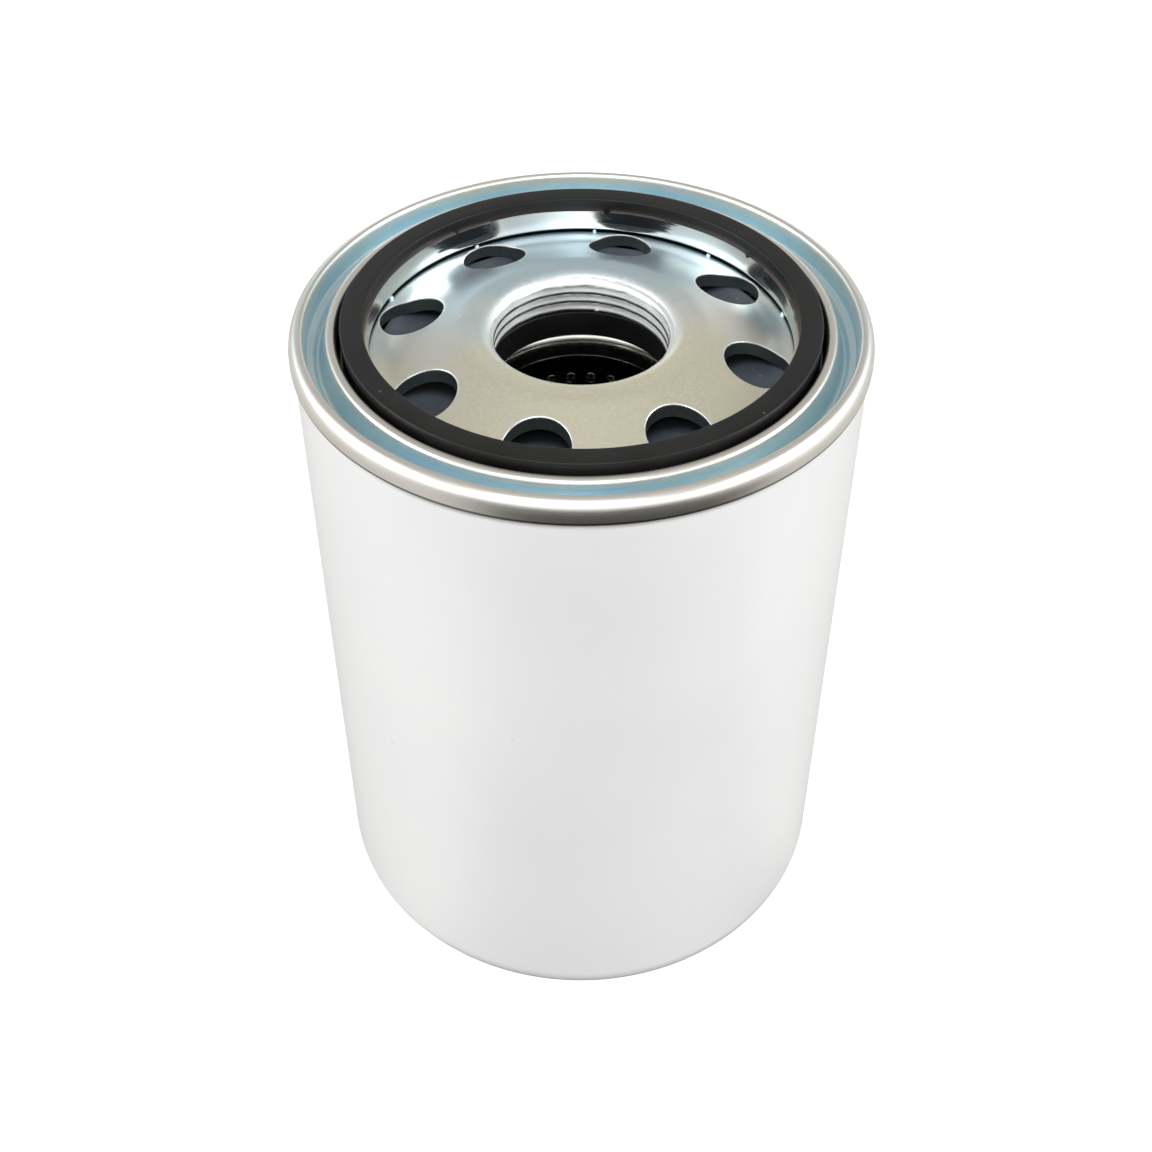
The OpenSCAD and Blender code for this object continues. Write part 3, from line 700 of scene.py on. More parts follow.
# %% Bypass turnings
_, seat_low, seat_top = span("bypass_seat")
seat = revolve("seat_ring", [
    (9, seat_low + 0.3), (9.3, seat_low), (17.7, seat_low), (18, seat_low + 0.3),
    (18, bottom_cap_z - 0.35), (17.7, bottom_cap_z - 0.05), (15, bottom_cap_z - 0.05),
    (15, seat_top - 1.3), (14.7, seat_top - 1), (10.4, seat_top - 1), (10.1, seat_top - 0.15),
    (9.95, seat_top), (9.15, seat_top), (9, seat_top - 0.15)], 128)
_, poppet_z, stem_top = span("bypass_poppet")
BYPASS_LIFT = 4.0
stop_z = span("bypass_spring")[2] - BYPASS_LIFT
poppet = revolve("poppet_disc", [
    (0, poppet_z), (12.6, poppet_z), (13, poppet_z + 0.4), (13, poppet_z + 0.95), (12.75, poppet_z + 1.2),
    (5.6, poppet_z + 1.2), (4.9, poppet_z + 1.5), (4.6, poppet_z + 2.1), (4.6, stop_z - 0.3),
    (4.3, stop_z), (2.5, stop_z), (2.5, stem_top - 0.5), (2.0, stem_top), (0, stem_top)], 96)

# %% [markdown]
# ## Shared surface effects
# A finish looks real when several small effects sit on top of each other. Each effect that more than one
# material uses is a node group with named inputs. They all read Object coordinates. A material shader
# never sees "round" by itself, so the first group turns x and y into a radius, a turn and a direction.

# %% Effect groups
def effect(tree, group, ins=None):
    """The outputs of one of the effect groups inside a tree."""
    return put(tree, "ShaderNodeGroup", ins, node_tree=group).outputs


def noise(tree, vector, scale, detail=2.0, rough=0.5):
    """The value of a noise texture."""
    return put(tree, "ShaderNodeTexNoise", {"Vector": vector, "Scale": scale, "Detail": detail,
                                            "Roughness": rough}).outputs["Fac"]


def blend(tree, share, a, b):
    """Colour b over colour a."""
    return put(tree, "ShaderNodeMix", {0: share, 6: a, 7: b}, data_type="RGBA").outputs[2]


def shade_group(name, ins, outs):
    """An empty shader group and its two ends."""
    return tree_with("ShaderNodeTree", name, ins, outs)


# Radius and height in millimetres, turn in degrees, and the unit direction from the axis
round_group, get, give = shade_group("Round Coordinates", [], [
    ("Radius", "Float"), ("Height", "Float"), ("Turn", "Float"), ("Direction", "Vector")])
t = round_group
where = put(t, "ShaderNodeTexCoord").outputs["Object"]
mm = put(t, "ShaderNodeVectorMath", {0: where, "Scale": 1000.0}, operation="SCALE").outputs[0]
axes = put(t, "ShaderNodeSeparateXYZ", {0: mm}).outputs
flat = put(t, "ShaderNodeCombineXYZ", {0: axes[0], 1: axes[1]}).outputs[0]
t.links.new(put(t, "ShaderNodeVectorMath", {0: flat}, operation="LENGTH").outputs["Value"], give["Radius"])
t.links.new(axes[2], give["Height"])
degrees = calc(t, "MULTIPLY", calc(t, "ARCTAN2", axes[1], axes[0]), 180 / math.pi)
t.links.new(calc(t, "MODULO", calc(t, "ADD", degrees, 360.0), 360.0), give["Turn"])
t.links.new(put(t, "ShaderNodeVectorMath", {0: flat}, operation="NORMALIZE").outputs[0], give["Direction"])

# Distance in millimetres from the middle of the nearest inlet hole, by folding the turn into one sector
hole_group, get, give = shade_group("Hole Distance", [("Pitch Radius", "Float", HOLE_PITCH_R)],
                                    [("Distance", "Float")])
t = hole_group
ring = effect(t, round_group)
sector = 360 / HOLES
fold = calc(t, "MODULO", calc(t, "ADD", ring["Turn"], 360 + sector / 2 - HOLE_TURN), sector)
fold = calc(t, "MULTIPLY", calc(t, "SUBTRACT", fold, sector / 2), math.pi / 180)
there = put(t, "ShaderNodeCombineXYZ", {
    0: calc(t, "SUBTRACT", calc(t, "MULTIPLY", ring["Radius"], calc(t, "COSINE", fold)), get["Pitch Radius"]),
    1: calc(t, "MULTIPLY", ring["Radius"], calc(t, "SINE", fold))}).outputs[0]
t.links.new(put(t, "ShaderNodeVectorMath", {0: there}, operation="LENGTH").outputs["Value"], give["Distance"])

# Lines that run round the axis, as left by a die or a lathe
lines_group, get, give = shade_group("Turned Lines", [("Density", "Float", 3.0), ("Wander", "Float", 0.6)],
                                     [("Lines", "Float"), ("Broad", "Float")])
t = lines_group
ring = effect(t, round_group)
drift = put(t, "ShaderNodeVectorMath", {0: ring["Direction"], "Scale": get["Wander"]},
            operation="SCALE").outputs[0]
across = put(t, "ShaderNodeCombineXYZ", {0: calc(t, "MULTIPLY", ring["Radius"], get["Density"]),
                                         1: calc(t, "MULTIPLY", ring["Height"], get["Density"])}).outputs[0]
across = put(t, "ShaderNodeVectorMath", {0: across, 1: drift}, operation="ADD").outputs[0]
t.links.new(noise(t, across, 1.0, 3.0, 0.7), give["Lines"])
t.links.new(noise(t, across, 0.12, 1.0, 0.5), give["Broad"])

# Soft clouds and fine grain
cloud_group, get, give = shade_group("Cloud And Grain", [
    ("Cloud Scale", "Float", 60.0), ("Grain Scale", "Float", 2500.0)],
    [("Cloud", "Float"), ("Grain", "Float")])
t = cloud_group
where = put(t, "ShaderNodeTexCoord").outputs["Object"]
t.links.new(remap(t, noise(t, where, get["Cloud Scale"], 4.0, 0.55), 0.3, 0.7), give["Cloud"])
t.links.new(noise(t, where, get["Grain Scale"], 3.0, 0.6), give["Grain"])

# Small scattered specks: handling marks, lint and pinholes
speck_group, get, give = shade_group("Specks", [("Scale", "Float", 220.0), ("Size", "Float", 0.08),
                                                ("Rarity", "Float", 0.6)], [("Mask", "Float")])
t = speck_group
where = put(t, "ShaderNodeTexCoord").outputs["Object"]
cell = put(t, "ShaderNodeTexVoronoi", {"Vector": where, "Scale": get["Scale"]})
dot = calc(t, "LESS_THAN", cell.outputs["Distance"], get["Size"])
pick = put(t, "ShaderNodeSeparateXYZ", {0: cell.outputs["Color"]}).outputs[0]
t.links.new(calc(t, "MULTIPLY", dot, calc(t, "GREATER_THAN", pick, get["Rarity"])), give["Mask"])

# Clear chromate film on zinc: straw, blue and a hint of pink, by how thick the film is
film_group, get, give = shade_group("Zinc Film", [("Thickness", "Float", 0.5), ("Strength", "Float", 1.0)],
                                    [("Color", "Color")])
t = film_group
ramp = put(t, "ShaderNodeValToRGB", {0: get["Thickness"]})
stops = [(0.0, (0.94, 0.91, 0.72)), (0.2, (0.90, 0.89, 0.80)), (0.4, (0.84, 0.88, 0.88)),
         (0.6, (0.66, 0.82, 0.87)), (0.8, (0.60, 0.77, 0.87)), (1.0, (0.80, 0.84, 0.72))]
while len(ramp.color_ramp.elements) < len(stops):
    ramp.color_ramp.elements.new(0.5)
for element, (at, rgb) in zip(ramp.color_ramp.elements, stops):
    element.position = at
    element.color = (*rgb, 1)
t.links.new(blend(t, get["Strength"], (0.84, 0.81, 0.78, 1), ramp.outputs[0]), give["Color"])
print("effect groups:", [g.name for g in bpy.data.node_groups if g.bl_idname == "ShaderNodeTree"])

# %% [markdown]
# ## White powder coat
# The can is powder coated: the powder melts and flows, but never quite level. That gives the fine
# orange-peel ripple, which shows only in highlights. The colour is nearly flat, with a trace of variation
# and a soft grey line of painted shade where the wall disappears under the rolled seam.

# %% Paint
def begin(name, **sockets):
    """A material's tree, its Principled shader with these values, and the round coordinates."""
    mat = materials[name]
    mat.use_nodes = True
    tree = mat.node_tree
    shader = tree.nodes["Principled BSDF"]
    for key, value in sockets.items():
        shader.inputs[key.replace("_", " ")].default_value = value
    return tree, shader, effect(tree, round_group)


def bump(tree, shader, height, strength, distance):
    """Fine relief on the shader's normal."""
    n = put(tree, "ShaderNodeBump", {"Height": height, "Strength": strength, "Distance": distance})
    tree.links.new(n.outputs[0], shader.inputs["Normal"])


def wire(tree, shader, **links):
    """Links outputs to the shader's sockets, with _ for a space in the socket's name."""
    for key, value in links.items():
        tree.links.new(value, shader.inputs[key.replace("_", " ")])


tree, shader, ring = begin("white_paint", IOR=1.5, Coat_Roughness=0.12)
marks = effect(tree, cloud_group, {"Cloud Scale": 18.0, "Grain Scale": 420.0})
dots = effect(tree, speck_group, {"Scale": 70.0, "Size": 0.035, "Rarity": 0.85})["Mask"]
color = blend(tree, marks["Cloud"], (0.80, 0.805, 0.815, 1), (0.835, 0.84, 0.845, 1))
color = blend(tree, calc(tree, "MULTIPLY", dots, 0.25), color, (0.45, 0.43, 0.40, 1))
# Painted shade: a grey band on the wall just under the rolled seam
under = remap(tree, ring["Height"], crest_z - 7.3, crest_z - 6.3)
color = blend(tree, calc(tree, "MULTIPLY", under, 0.75), color, (0.30, 0.29, 0.28, 1))
rough = remap(tree, marks["Grain"], 0.3, 0.7, 0.30, 0.38)
coat = remap(tree, marks["Cloud"], 0.0, 1.0, 0.25, 0.35)
wire(tree, shader, Base_Color=color, Roughness=rough, Coat_Weight=coat)
bump(tree, shader, marks["Grain"], 0.25, 0.00012)

# %% [markdown]
# ## Plated lid
# Bright zinc with a clear blue film. The film is an interference layer, so its colour follows its
# thickness: the valley holds more of it and looks teal, while the crests that the rolling tools rubbed are
# nearly bare. The rolled outside is also duller than the lip, so its highlights are soft. Dark places are
# painted in by radius and height: painted dark reflections on the lip, and painted shade in the heel, the
# gasket's channel and the gap under the seam. Each is a mask that fades over a few tenths of a millimetre.

# %% Lid material
tree, shader, ring = begin("zinc_lid", Metallic=1.0)
lines = effect(tree, lines_group, {"Density": 5.0, "Wander": 1.6})
marks = effect(tree, cloud_group, {"Cloud Scale": 45.0, "Grain Scale": 2200.0})
# Where the film is thick: low down between the ridge and the seam
low_down = remap(tree, ring["Height"], crest_z - 2.1, crest_z - 3.0)
valley = calc(tree, "MULTIPLY", low_down, remap(tree, ring["Radius"], 55.6, 56.6))
valley = calc(tree, "MULTIPLY", valley, remap(tree, ring["Radius"], 62.2, 61.2))
film = calc(tree, "ADD", calc(tree, "MULTIPLY", valley, 0.40), calc(tree, "MULTIPLY", lines["Broad"], 0.36))
film = calc(tree, "ADD", film, calc(tree, "MULTIPLY", marks["Cloud"], 0.2))
bare = remap(tree, valley, 0.0, 1.0, 0.35, 0.95)
color = effect(tree, film_group, {"Thickness": film, "Strength": bare})[0]
# Painted dark reflections on the lip: three patches with ragged ends
on_lip = calc(tree, "MULTIPLY", remap(tree, ring["Radius"], 48.35, 48.05),
              remap(tree, ring["Height"], crest_z - 6.3, crest_z - 5.2))
along = put(tree, "ShaderNodeVectorMath", {0: ring["Direction"], "Scale": 3.0}, operation="SCALE").outputs[0]
rise_by = put(tree, "ShaderNodeCombineXYZ", {2: calc(tree, "MULTIPLY", ring["Height"], 2.2)}).outputs[0]
streak = put(tree, "ShaderNodeVectorMath", {0: along, 1: rise_by}, operation="ADD").outputs[0]
streaks = remap(tree, noise(tree, streak, 1.0, 3.0, 0.6), 0.3, 0.7, -3.0, 3.0, "LINEAR")
patches = 0.0
for middle, half in ((126.5, 9.5), (73.5, 11.0), (18.5, 8.5)):
    away = calc(tree, "ABSOLUTE", calc(tree, "SUBTRACT", ring["Turn"], middle))
    part = remap(tree, calc(tree, "ADD", away, streaks), half, half - 1.5)
    patches = calc(tree, "MAXIMUM", patches, part)
lip_dark_reflection = calc(tree, "MULTIPLY", calc(tree, "MULTIPLY", patches, on_lip),
             remap(tree, ring["Height"], crest_z - 5.7, crest_z - 4.9))
color = blend(tree, lip_dark_reflection, color, (0.085, 0.095, 0.105, 1))
# Painted shade in the heel, the channel behind the gasket and the gap under the seam; bright sheared edge
heel_shade = calc(tree, "MULTIPLY", remap(tree, ring["Radius"], 49.4, 48.6),
            remap(tree, ring["Height"], flange_z + 1.3, flange_z + 0.5))
color = blend(tree, calc(tree, "MULTIPLY", heel_shade, 0.85), color, (0.02, 0.03, 0.03, 1))
sheared = calc(tree, "MULTIPLY", on_lip, remap(tree, ring["Height"], crest_z - 2.3, crest_z - 2.0))
color = blend(tree, calc(tree, "MULTIPLY", sheared, 0.7), color, (0.80, 0.70, 0.66, 1))
channel_shade = calc(tree, "MULTIPLY", remap(tree, ring["Radius"], 54.75, 54.45),
               remap(tree, ring["Height"], crest_z - 1.7, crest_z - 2.5))
channel_shade = calc(tree, "MULTIPLY", channel_shade, remap(tree, ring["Radius"], 50.0, 52.0))
color = blend(tree, calc(tree, "MULTIPLY", channel_shade, 0.9), color, (0.04, 0.04, 0.04, 1))
seam_gap_shade = calc(tree, "MULTIPLY", remap(tree, ring["Radius"], 62.6, 62.9),
           remap(tree, ring["Height"], crest_z - 4.5, crest_z - 5.0))
color = blend(tree, calc(tree, "MULTIPLY", seam_gap_shade, 0.9), color, (0.05, 0.05, 0.05, 1))
outside = remap(tree, ring["Radius"], 54.0, 55.0, 0.0, 0.12)
rough = calc(tree, "ADD", remap(tree, lines["Lines"], 0.25, 0.75, 0.17, 0.26), outside)
rough = calc(tree, "ADD", rough, calc(tree, "MULTIPLY", lip_dark_reflection, 0.2))
wire(tree, shader, Base_Color=color, Roughness=rough)
relief = calc(tree, "ADD", lines["Lines"], calc(tree, "MULTIPLY", marks["Grain"], 0.3))
bump(tree, shader, relief, 0.35, 0.00003)

# %% [markdown]
# ## Plated baseplate
# The same zinc on thick hot-rolled plate. The steel's own grain shows through, so the surface is a matt
# mottle. The film drained to one side while the part hung in the bath, so the tint drifts from straw to
# teal across the plate. Each hole gets a painted highlight round its rim, and a darker wall inside it that
# is both torn steel and painted shade. In the neck the colour is close to plain steel, with painted shade
# as dark lines on the thread's crests.

# %% Plate material
tree, shader, ring = begin("zinc_plate", Metallic=1.0)
lines = effect(tree, lines_group, {"Density": 2.0, "Wander": 2.5})
marks = effect(tree, cloud_group, {"Cloud Scale": 55.0, "Grain Scale": 1500.0})
dots = effect(tree, speck_group, {"Scale": 260.0, "Size": 0.16, "Rarity": 0.93})["Mask"]
from_hole = effect(tree, hole_group)["Distance"]
# Painted highlight round each hole's rim; the darker wall inside is torn steel and painted shade
torn_wall_and_shade = remap(tree, from_hole, HOLE_R + 0.16, HOLE_R + 0.06)
rim = calc(tree, "MULTIPLY", remap(tree, from_hole, HOLE_R + 0.75, HOLE_R + 0.35), 0.7)
# Painted shade in the corner under the lid's heel
crevice_shade = remap(tree, ring["Radius"], 47.0, 47.6)
lean = put(tree, "ShaderNodeVectorMath", {0: ring["Direction"], 1: (-0.1, 0.995, 0)},
           operation="DOT_PRODUCT").outputs["Value"]
film = remap(tree, calc(tree, "ADD", lean, calc(tree, "MULTIPLY", marks["Cloud"], 0.6)), -0.5, 1.2, 0.0, 0.78)
color = effect(tree, film_group, {"Thickness": film, "Strength": 1.0})[0]
color = blend(tree, calc(tree, "MULTIPLY", marks["Grain"], 0.3), color, (0.84, 0.83, 0.80, 1))
inside = remap(tree, ring["Radius"], 21.8, 21.0)
color = blend(tree, calc(tree, "MULTIPLY", inside, 0.8), color, (0.84, 0.84, 0.83, 1))
# Painted shade: the thread's narrow crests are darkened into thin dark lines
thread_line_shade = calc(tree, "MULTIPLY", remap(tree, ring["Radius"], neck_r + 0.30, neck_r + 0.12),
             remap(tree, ring["Height"], crown_z - NECK_ROUND + 0.9, crown_z - NECK_ROUND + 0.3))
color = blend(tree, calc(tree, "MULTIPLY", thread_line_shade, 0.9), color, (0.03, 0.03, 0.03, 1))
color = blend(tree, calc(tree, "MULTIPLY", dots, 0.6), color, (0.9, 0.9, 0.88, 1))
color = blend(tree, rim, color, (0.92, 0.93, 0.92, 1))
color = blend(tree, torn_wall_and_shade, color, (0.22, 0.25, 0.24, 1))
color = blend(tree, calc(tree, "MULTIPLY", crevice_shade, 0.93), color, (0.02, 0.03, 0.03, 1))
rough = calc(tree, "ADD", remap(tree, marks["Grain"], 0.3, 0.7, 0.30, 0.42),
             remap(tree, ring["Radius"], 29.0, 24.0, 0.0, 0.08))
wire(tree, shader, Base_Color=color, Roughness=rough)
grain = calc(tree, "ADD", calc(tree, "MULTIPLY", lines["Lines"], 0.3), marks["Grain"])
bump(tree, shader, grain, 0.4, 0.00005)

# %% [markdown]
# ## Rubber
# New nitrile rubber is very dark, slightly brown, with a soft sheen on the cut faces and fine lines from
# the lathe blade. The valve's rubber is a different compound: blue-grey and matt, with a dusting of talc
# where the holes leave it open. The part that lies hidden under the plate gets painted shade.

# %% Rubber materials
tree, shader, ring = begin("nitrile", IOR=1.40)
lines = effect(tree, lines_group, {"Density": 4.0, "Wander": 0.8})
marks = effect(tree, cloud_group, {"Cloud Scale": 70.0, "Grain Scale": 1800.0})
dots = effect(tree, speck_group, {"Scale": 240.0, "Size": 0.09, "Rarity": 0.9})["Mask"]
color = blend(tree, marks["Cloud"], (0.005, 0.005, 0.005, 1), (0.009, 0.009, 0.009, 1))
color = blend(tree, calc(tree, "MULTIPLY", dots, 0.2), color, (0.25, 0.25, 0.25, 1))
rough = remap(tree, calc(tree, "ADD", lines["Lines"], calc(tree, "MULTIPLY", marks["Cloud"], 0.3)),
              0.3, 1.0, 0.38, 0.55)
wire(tree, shader, Base_Color=color, Roughness=rough)
relief = calc(tree, "ADD", lines["Lines"], calc(tree, "MULTIPLY", marks["Grain"], 0.5))
bump(tree, shader, relief, 0.3, 0.00004)

tree, shader, ring = begin("valve_rubber", IOR=1.5)
marks = effect(tree, cloud_group, {"Cloud Scale": 90.0, "Grain Scale": 1600.0})
dots = effect(tree, speck_group, {"Scale": 650.0, "Size": 0.14, "Rarity": 0.88})["Mask"]
color = blend(tree, marks["Cloud"], (0.06, 0.075, 0.098, 1), (0.095, 0.115, 0.145, 1))
color = blend(tree, calc(tree, "MULTIPLY", dots, 0.35), color, (0.5, 0.5, 0.5, 1))
from_hole = effect(tree, hole_group)["Distance"]
# Painted shade on the web where it lies under the plate, away from the holes
under_plate_shade = remap(tree, calc(tree, "ADD", from_hole, marks["Cloud"]), 7.6, 10.5)
color = blend(tree, calc(tree, "MULTIPLY", under_plate_shade, 0.93), color, (0.012, 0.013, 0.015, 1))
rough = remap(tree, marks["Grain"], 0.3, 0.7, 0.5, 0.7)
wire(tree, shader, Base_Color=color, Roughness=rough)
bump(tree, shader, marks["Grain"], 0.3, 0.00005)

# %% [markdown]
# ## Inner parts
# Tinplate caps and tube are brighter and smoother than zinc, with rolling lines. The springs are drawn
# wire, the potting is a cured black resin with a skin, and the paper has fibres. They are hidden most of
# the time, but a cut-away or an exploded view shows all of them.

# %% Inner materials
def simple(name, dark, light, rough_low, rough_high, metal, cloud, grain, density, strength):
    """A finish from lines, clouds and grain between two colours."""
    tree, shader, _ = begin(name, Metallic=metal)
    lines = effect(tree, lines_group, {"Density": density, "Wander": 1.2})
    marks = effect(tree, cloud_group, {"Cloud Scale": cloud, "Grain Scale": grain})
    share = calc(tree, "MULTIPLY", calc(tree, "ADD", marks["Cloud"], lines["Lines"]), 0.5)
    color = blend(tree, share, (*dark, 1), (*light, 1))
    rough = remap(tree, calc(tree, "MULTIPLY", calc(tree, "ADD", marks["Grain"], lines["Lines"]), 0.5),
                  0.3, 0.7, rough_low, rough_high)
    wire(tree, shader, Base_Color=color, Roughness=rough)
    bump(tree, shader, calc(tree, "ADD", marks["Grain"], lines["Lines"]), strength, 0.00004)


simple("sealant", (0.02, 0.02, 0.022), (0.04, 0.04, 0.045), 0.4, 0.6, 0.0, 120.0, 900.0, 1.0, 0.4)
simple("tinplate", (0.66, 0.65, 0.62), (0.80, 0.79, 0.76), 0.13, 0.22, 1.0, 40.0, 1800.0, 4.0, 0.15)
# The perforated tube is the same sheet, painted darker, with a painted highlight on the burrs where the punch
# came through
tree = materials["tinplate"].node_tree
shader = tree.nodes["Principled BSDF"]
ring = effect(tree, round_group)
in_pack = remap(tree, ring["Height"], top_cap_z - 8, top_cap_z - 9)
wall = calc(tree, "MULTIPLY", remap(tree, ring["Radius"], tube_r + 0.2, tube_r + 0.1), in_pack)
burr_glint = calc(tree, "MULTIPLY", remap(tree, ring["Radius"], tube_r - 0.64, tube_r - 0.70), in_pack)
plain = shader.inputs["Base Color"].links[0].from_socket
tube_darkened = blend(tree, calc(tree, "MULTIPLY", wall, 0.85), plain, (0.10, 0.10, 0.10, 1))
wire(tree, shader, Base_Color=blend(tree, burr_glint, tube_darkened, (0.95, 0.95, 0.95, 1)))
simple("potting", (0.016, 0.015, 0.015), (0.035, 0.033, 0.032), 0.25, 0.5, 0.0, 80.0, 500.0, 0.4, 0.5)
simple("media", (0.48, 0.37, 0.20), (0.62, 0.50, 0.29), 0.8, 0.95, 0.0, 200.0, 3500.0, 0.8, 0.6)
simple("spring_steel", (0.30, 0.30, 0.31), (0.46, 0.46, 0.47), 0.25, 0.4, 1.0, 150.0, 2600.0, 2.0, 0.3)
simple("valve_brass", (0.62, 0.47, 0.20), (0.76, 0.60, 0.28), 0.2, 0.32, 1.0, 60.0, 1800.0, 6.0, 0.4)

# %% [markdown]
# ## Pieces, bodies and slots
# Each piece rides on the CAD body that carries it, stands for the CAD nodes it replaces, and takes its
# finish from a named slot.

# %% Hand over the pieces
PIECES = [
    (can, "shell", "white_paint", ["can"]), (lid, "shell", "zinc_lid", ["seaming_lid"]),
    (plate, "shell", "zinc_plate", ["baseplate"]), (welds, "shell", "zinc_plate", ["weld_nuggets"]),
    (gasket, "shell", "nitrile", ["base_gasket"]), (holdup, "shell", "spring_steel", ["holdup_spring"]),
    (collar, "element", "nitrile", ["anti_drain_collar"]),
    (flap, "drain_flap", "valve_rubber", ["anti_drain_flap"]),
    (top_cap, "element", "tinplate", ["top_end_cap"]), (low_cap, "element", "tinplate", ["bottom_end_cap"]),
    (tube, "element", "tinplate", ["centre_tube"]), (bands[0], "element", "tinplate", []),
    (bands[1], "element", "tinplate", []), (pleats, "element", "media", ["filter_media"]),
    (cords[0], "element", "potting", ["media_bands"]), (cords[1], "element", "potting", []),
    (cords[2], "element", "potting", []), (bypass, "element", "spring_steel", ["bypass_spring"]),
    (seat, "element", "valve_brass", ["bypass_seat"]), (poppet, "poppet", "valve_brass", ["bypass_poppet"])]
for obj, body, slot, nodes in PIECES:
    obj.data.materials.clear()
    obj.data.materials.append(materials[slot])
    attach(obj, body)
    if nodes:
        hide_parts(*nodes)
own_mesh(holdup)
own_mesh(bypass)

KEPT = {"seam_sealant": "sealant", "top_potting": "potting", "bottom_potting": "potting",
        "media_seam_clip": "tinplate", "bypass_cage": "tinplate", "bypass_seal": "nitrile"}
for node, slot in KEPT.items():
    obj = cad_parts[node]
    for s in obj.material_slots:
        s.material = materials[slot]
    print(node, "keeps its CAD shape and takes", slot)

# %% [markdown]
# ## Stage, camera and light
# A pale floor that nearly disappears, and soft light from all round. Bright metal is only as good as what
# it reflects, so the surroundings aren't even: a wide window in front, walls at both sides, a dimmer
# ceiling, and two glare patches low at the back. The floor is plain to the eye, but in reflections it is
# pale at the sides and dark in front. That dark place is what draws the line under the rolled seam.

# %% Stage
bpy.ops.mesh.primitive_plane_add(size=8.0, location=(0, 0, -0.0002))
floor = bpy.context.object
floor.name = "floor"
floor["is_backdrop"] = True
paper = bpy.data.materials.new("floor_paper")
paper.use_nodes = True
t = paper.node_tree
base = t.nodes["Principled BSDF"]
base.inputs["Base Color"].default_value = (0.9, 0.9, 0.9, 1)
base.inputs["Roughness"].default_value = 0.9
base.inputs["Specular IOR Level"].default_value = 0.1
# The floor's glow to the eye, its grey for soft light, and its two tones in reflections
EYE_GLOW, SOFT_GREY = 0.9, (0.36, 0.36, 0.36, 1)
MIRRORED_PALE, MIRRORED_DARK = (0.50, 0.485, 0.465, 1), (0.04, 0.037, 0.035, 1)
TO_FRONT = (0.25, -0.97, 0)
rays = put(t, "ShaderNodeLightPath").outputs
base.inputs["Emission Color"].default_value = (1, 1, 1, 1)
t.links.new(calc(t, "MULTIPLY", rays["Is Camera Ray"], EYE_GLOW), base.inputs["Emission Strength"])
spot = put(t, "ShaderNodeVectorMath", {0: put(t, "ShaderNodeTexCoord").outputs["Object"]},
           operation="NORMALIZE").outputs[0]
ahead = put(t, "ShaderNodeVectorMath", {0: spot, 1: TO_FRONT}, operation="DOT_PRODUCT").outputs["Value"]
mirrored = blend(t, remap(t, ahead, 0.45, 0.85), MIRRORED_PALE, MIRRORED_DARK)
t.links.new(blend(t, rays["Is Glossy Ray"], SOFT_GREY, mirrored), base.inputs["Base Color"])
floor.data.materials.append(paper)

# %% Camera
camera = bpy.data.objects.new("camera", bpy.data.cameras.new("camera"))
bpy.context.scene.collection.objects.link(camera)
camera.location = (-0.00119, -0.30534, 0.3755)
camera.rotation_euler = (math.radians(47.0), 0, 0)
camera.data.lens = 51.66
camera.data.clip_start = 0.01
bpy.context.scene.camera = camera

# %% Light
def softbox(name, place, aim, size, power, color=(1, 1, 1)):
    """A square area light at place, facing aim."""
    light = bpy.data.lights.new(name, "AREA")
    light.shape, light.size, light.size_y = "RECTANGLE", size[0], size[1]
    light.energy, light.color = power, color
    obj = bpy.data.objects.new(name, light)
    obj.location = place
    obj.rotation_euler = (Vector(aim) - Vector(place)).to_track_quat("-Z", "Y").to_euler()
    bpy.context.scene.collection.objects.link(obj)
    obj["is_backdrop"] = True


softbox("front_high", (-0.15, -0.85, 1.45), (0, 0, 0.12), (0.9, 0.6), 6)
softbox("left", (-1.3, -0.1, 0.75), (0, 0, 0.1), (0.7, 0.9), 7)
softbox("right", (1.3, -0.1, 0.75), (0, 0, 0.1), (0.7, 0.9), 9)
softbox("by_camera", (0.0, -0.36, 0.47), (0, 0, 0.15), (0.008, 0.008), 0.13)

world = bpy.data.worlds.new("studio")
world.use_nodes = True
bpy.context.scene.world = world
t = world.node_tree
aim = put(t, "ShaderNodeTexCoord").outputs["Generated"]
axes = put(t, "ShaderNodeSeparateXYZ", {0: aim}).outputs


def patch(azimuth, elevation, inner, outer, level):
    """A soft round patch of light in the sky, between two angles in degrees from its middle."""
    a, e = math.radians(azimuth), math.radians(elevation)
    middle = (math.cos(a) * math.cos(e), math.sin(a) * math.cos(e), math.sin(e))
    near = put(t, "ShaderNodeVectorMath", {0: aim, 1: middle}, operation="DOT_PRODUCT").outputs["Value"]
    return remap(t, near, math.cos(math.radians(outer)), math.cos(math.radians(inner)), 0.0, level)


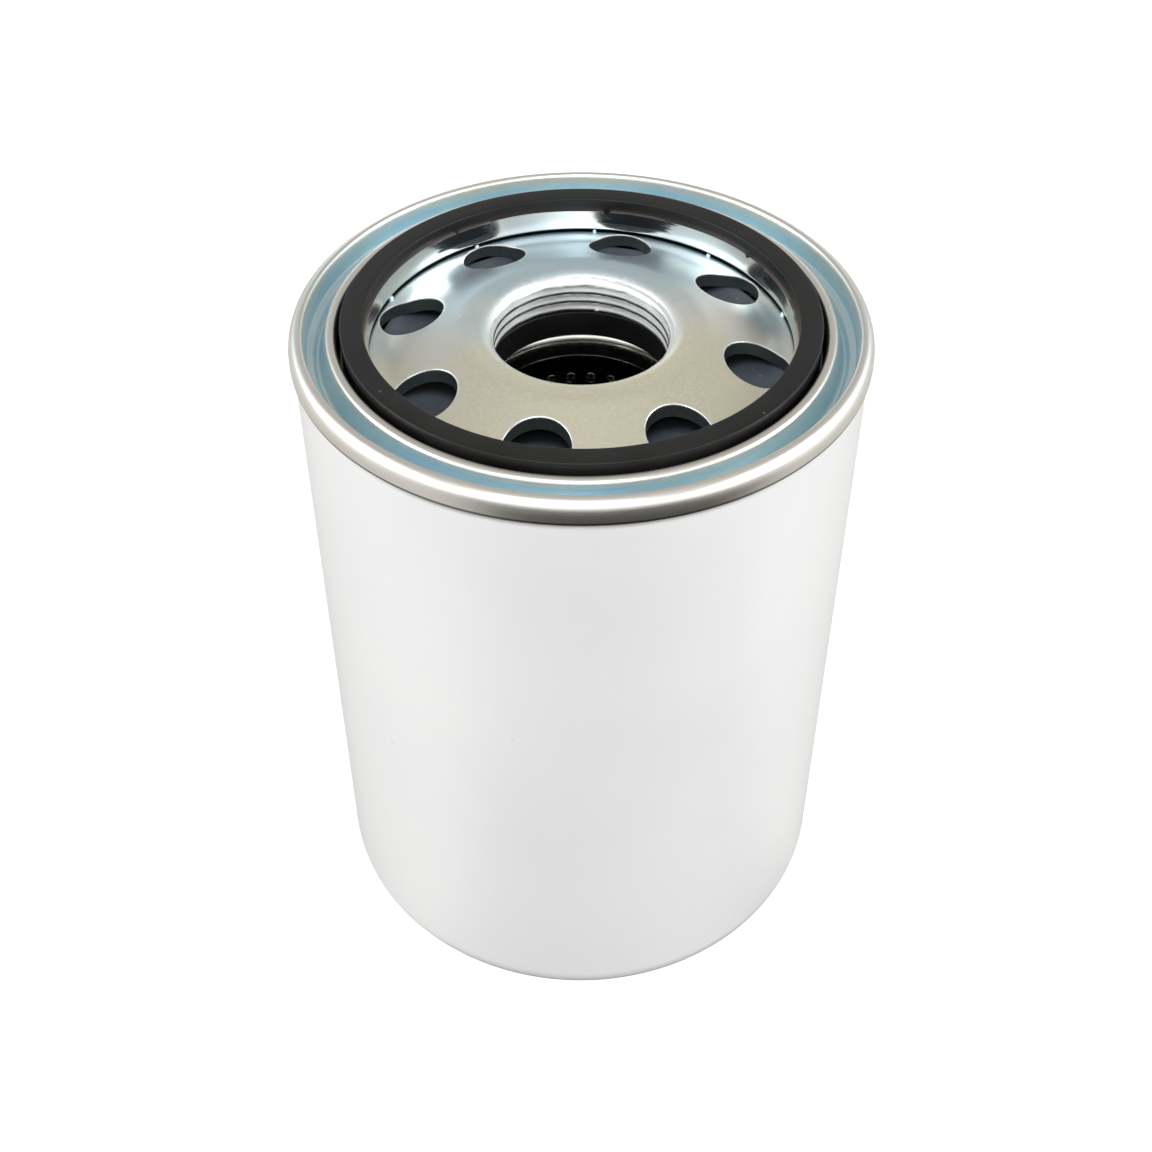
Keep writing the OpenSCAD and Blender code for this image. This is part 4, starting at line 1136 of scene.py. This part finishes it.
# How bright each part of the surroundings is, over the dim base; the low front is darkened instead
DIM, SIDES, CEILING, LOW_BACK, WINDOW, LOW_FRONT = 0.46, 0.8, 0.12, 0.22, 1.0, 0.45
back = remap(t, axes[1], -0.1, 0.3)
front = remap(t, axes[1], 0.05, -0.35)
low = remap(t, axes[2], 0.42, 0.12)
aside = calc(t, "MULTIPLY", remap(t, calc(t, "ABSOLUTE", axes[0]), 0.5, 0.8), remap(t, axes[2], 0.55, 0.3))
light = calc(t, "ADD", DIM, calc(t, "MULTIPLY", aside, SIDES))
light = calc(t, "ADD", light, remap(t, axes[2], 0.80, 0.97, 0.0, CEILING))
light = calc(t, "ADD", light, calc(t, "MULTIPLY", calc(t, "MULTIPLY", back, low), LOW_BACK))
window = calc(t, "MULTIPLY", remap(t, axes[2], 0.10, 0.30), remap(t, axes[2], 0.76, 0.64))
light = calc(t, "ADD", light, calc(t, "MULTIPLY", calc(t, "MULTIPLY", front, window), WINDOW))
under = remap(t, axes[2], 0.22, 0.08)
light = calc(t, "SUBTRACT", light, calc(t, "MULTIPLY", calc(t, "MULTIPLY", front, under), LOW_FRONT))
for glow_patch in (patch(106, 10, 3, 13, 0.9), patch(70, 12, 3, 10, 0.6)):
    light = calc(t, "ADD", light, glow_patch)
tone = blend(t, remap(t, light, 0.4, 1.0), (1.0, 0.96, 0.89, 1), (1.0, 1.0, 0.99, 1))
tone = blend(t, calc(t, "MULTIPLY", back, low), tone, (0.82, 0.97, 1.0, 1))
# Seen directly, the surroundings are plain and pale; only the object sees the windows and dark corners
direct = put(t, "ShaderNodeLightPath").outputs["Is Camera Ray"]
t.links.new(blend(t, direct, tone, (1, 1, 1, 1)), t.nodes["Background"].inputs["Color"])
light = calc(t, "ADD", calc(t, "MULTIPLY", light, calc(t, "SUBTRACT", 1.0, direct)), direct)
t.links.new(light, t.nodes["Background"].inputs["Strength"])
bpy.context.scene.view_settings.view_transform = "Standard"

# %% Size
low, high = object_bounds()
print("visual box, mm:", [round(v * 1000, 2) for v in low], [round(v * 1000, 2) for v in high])
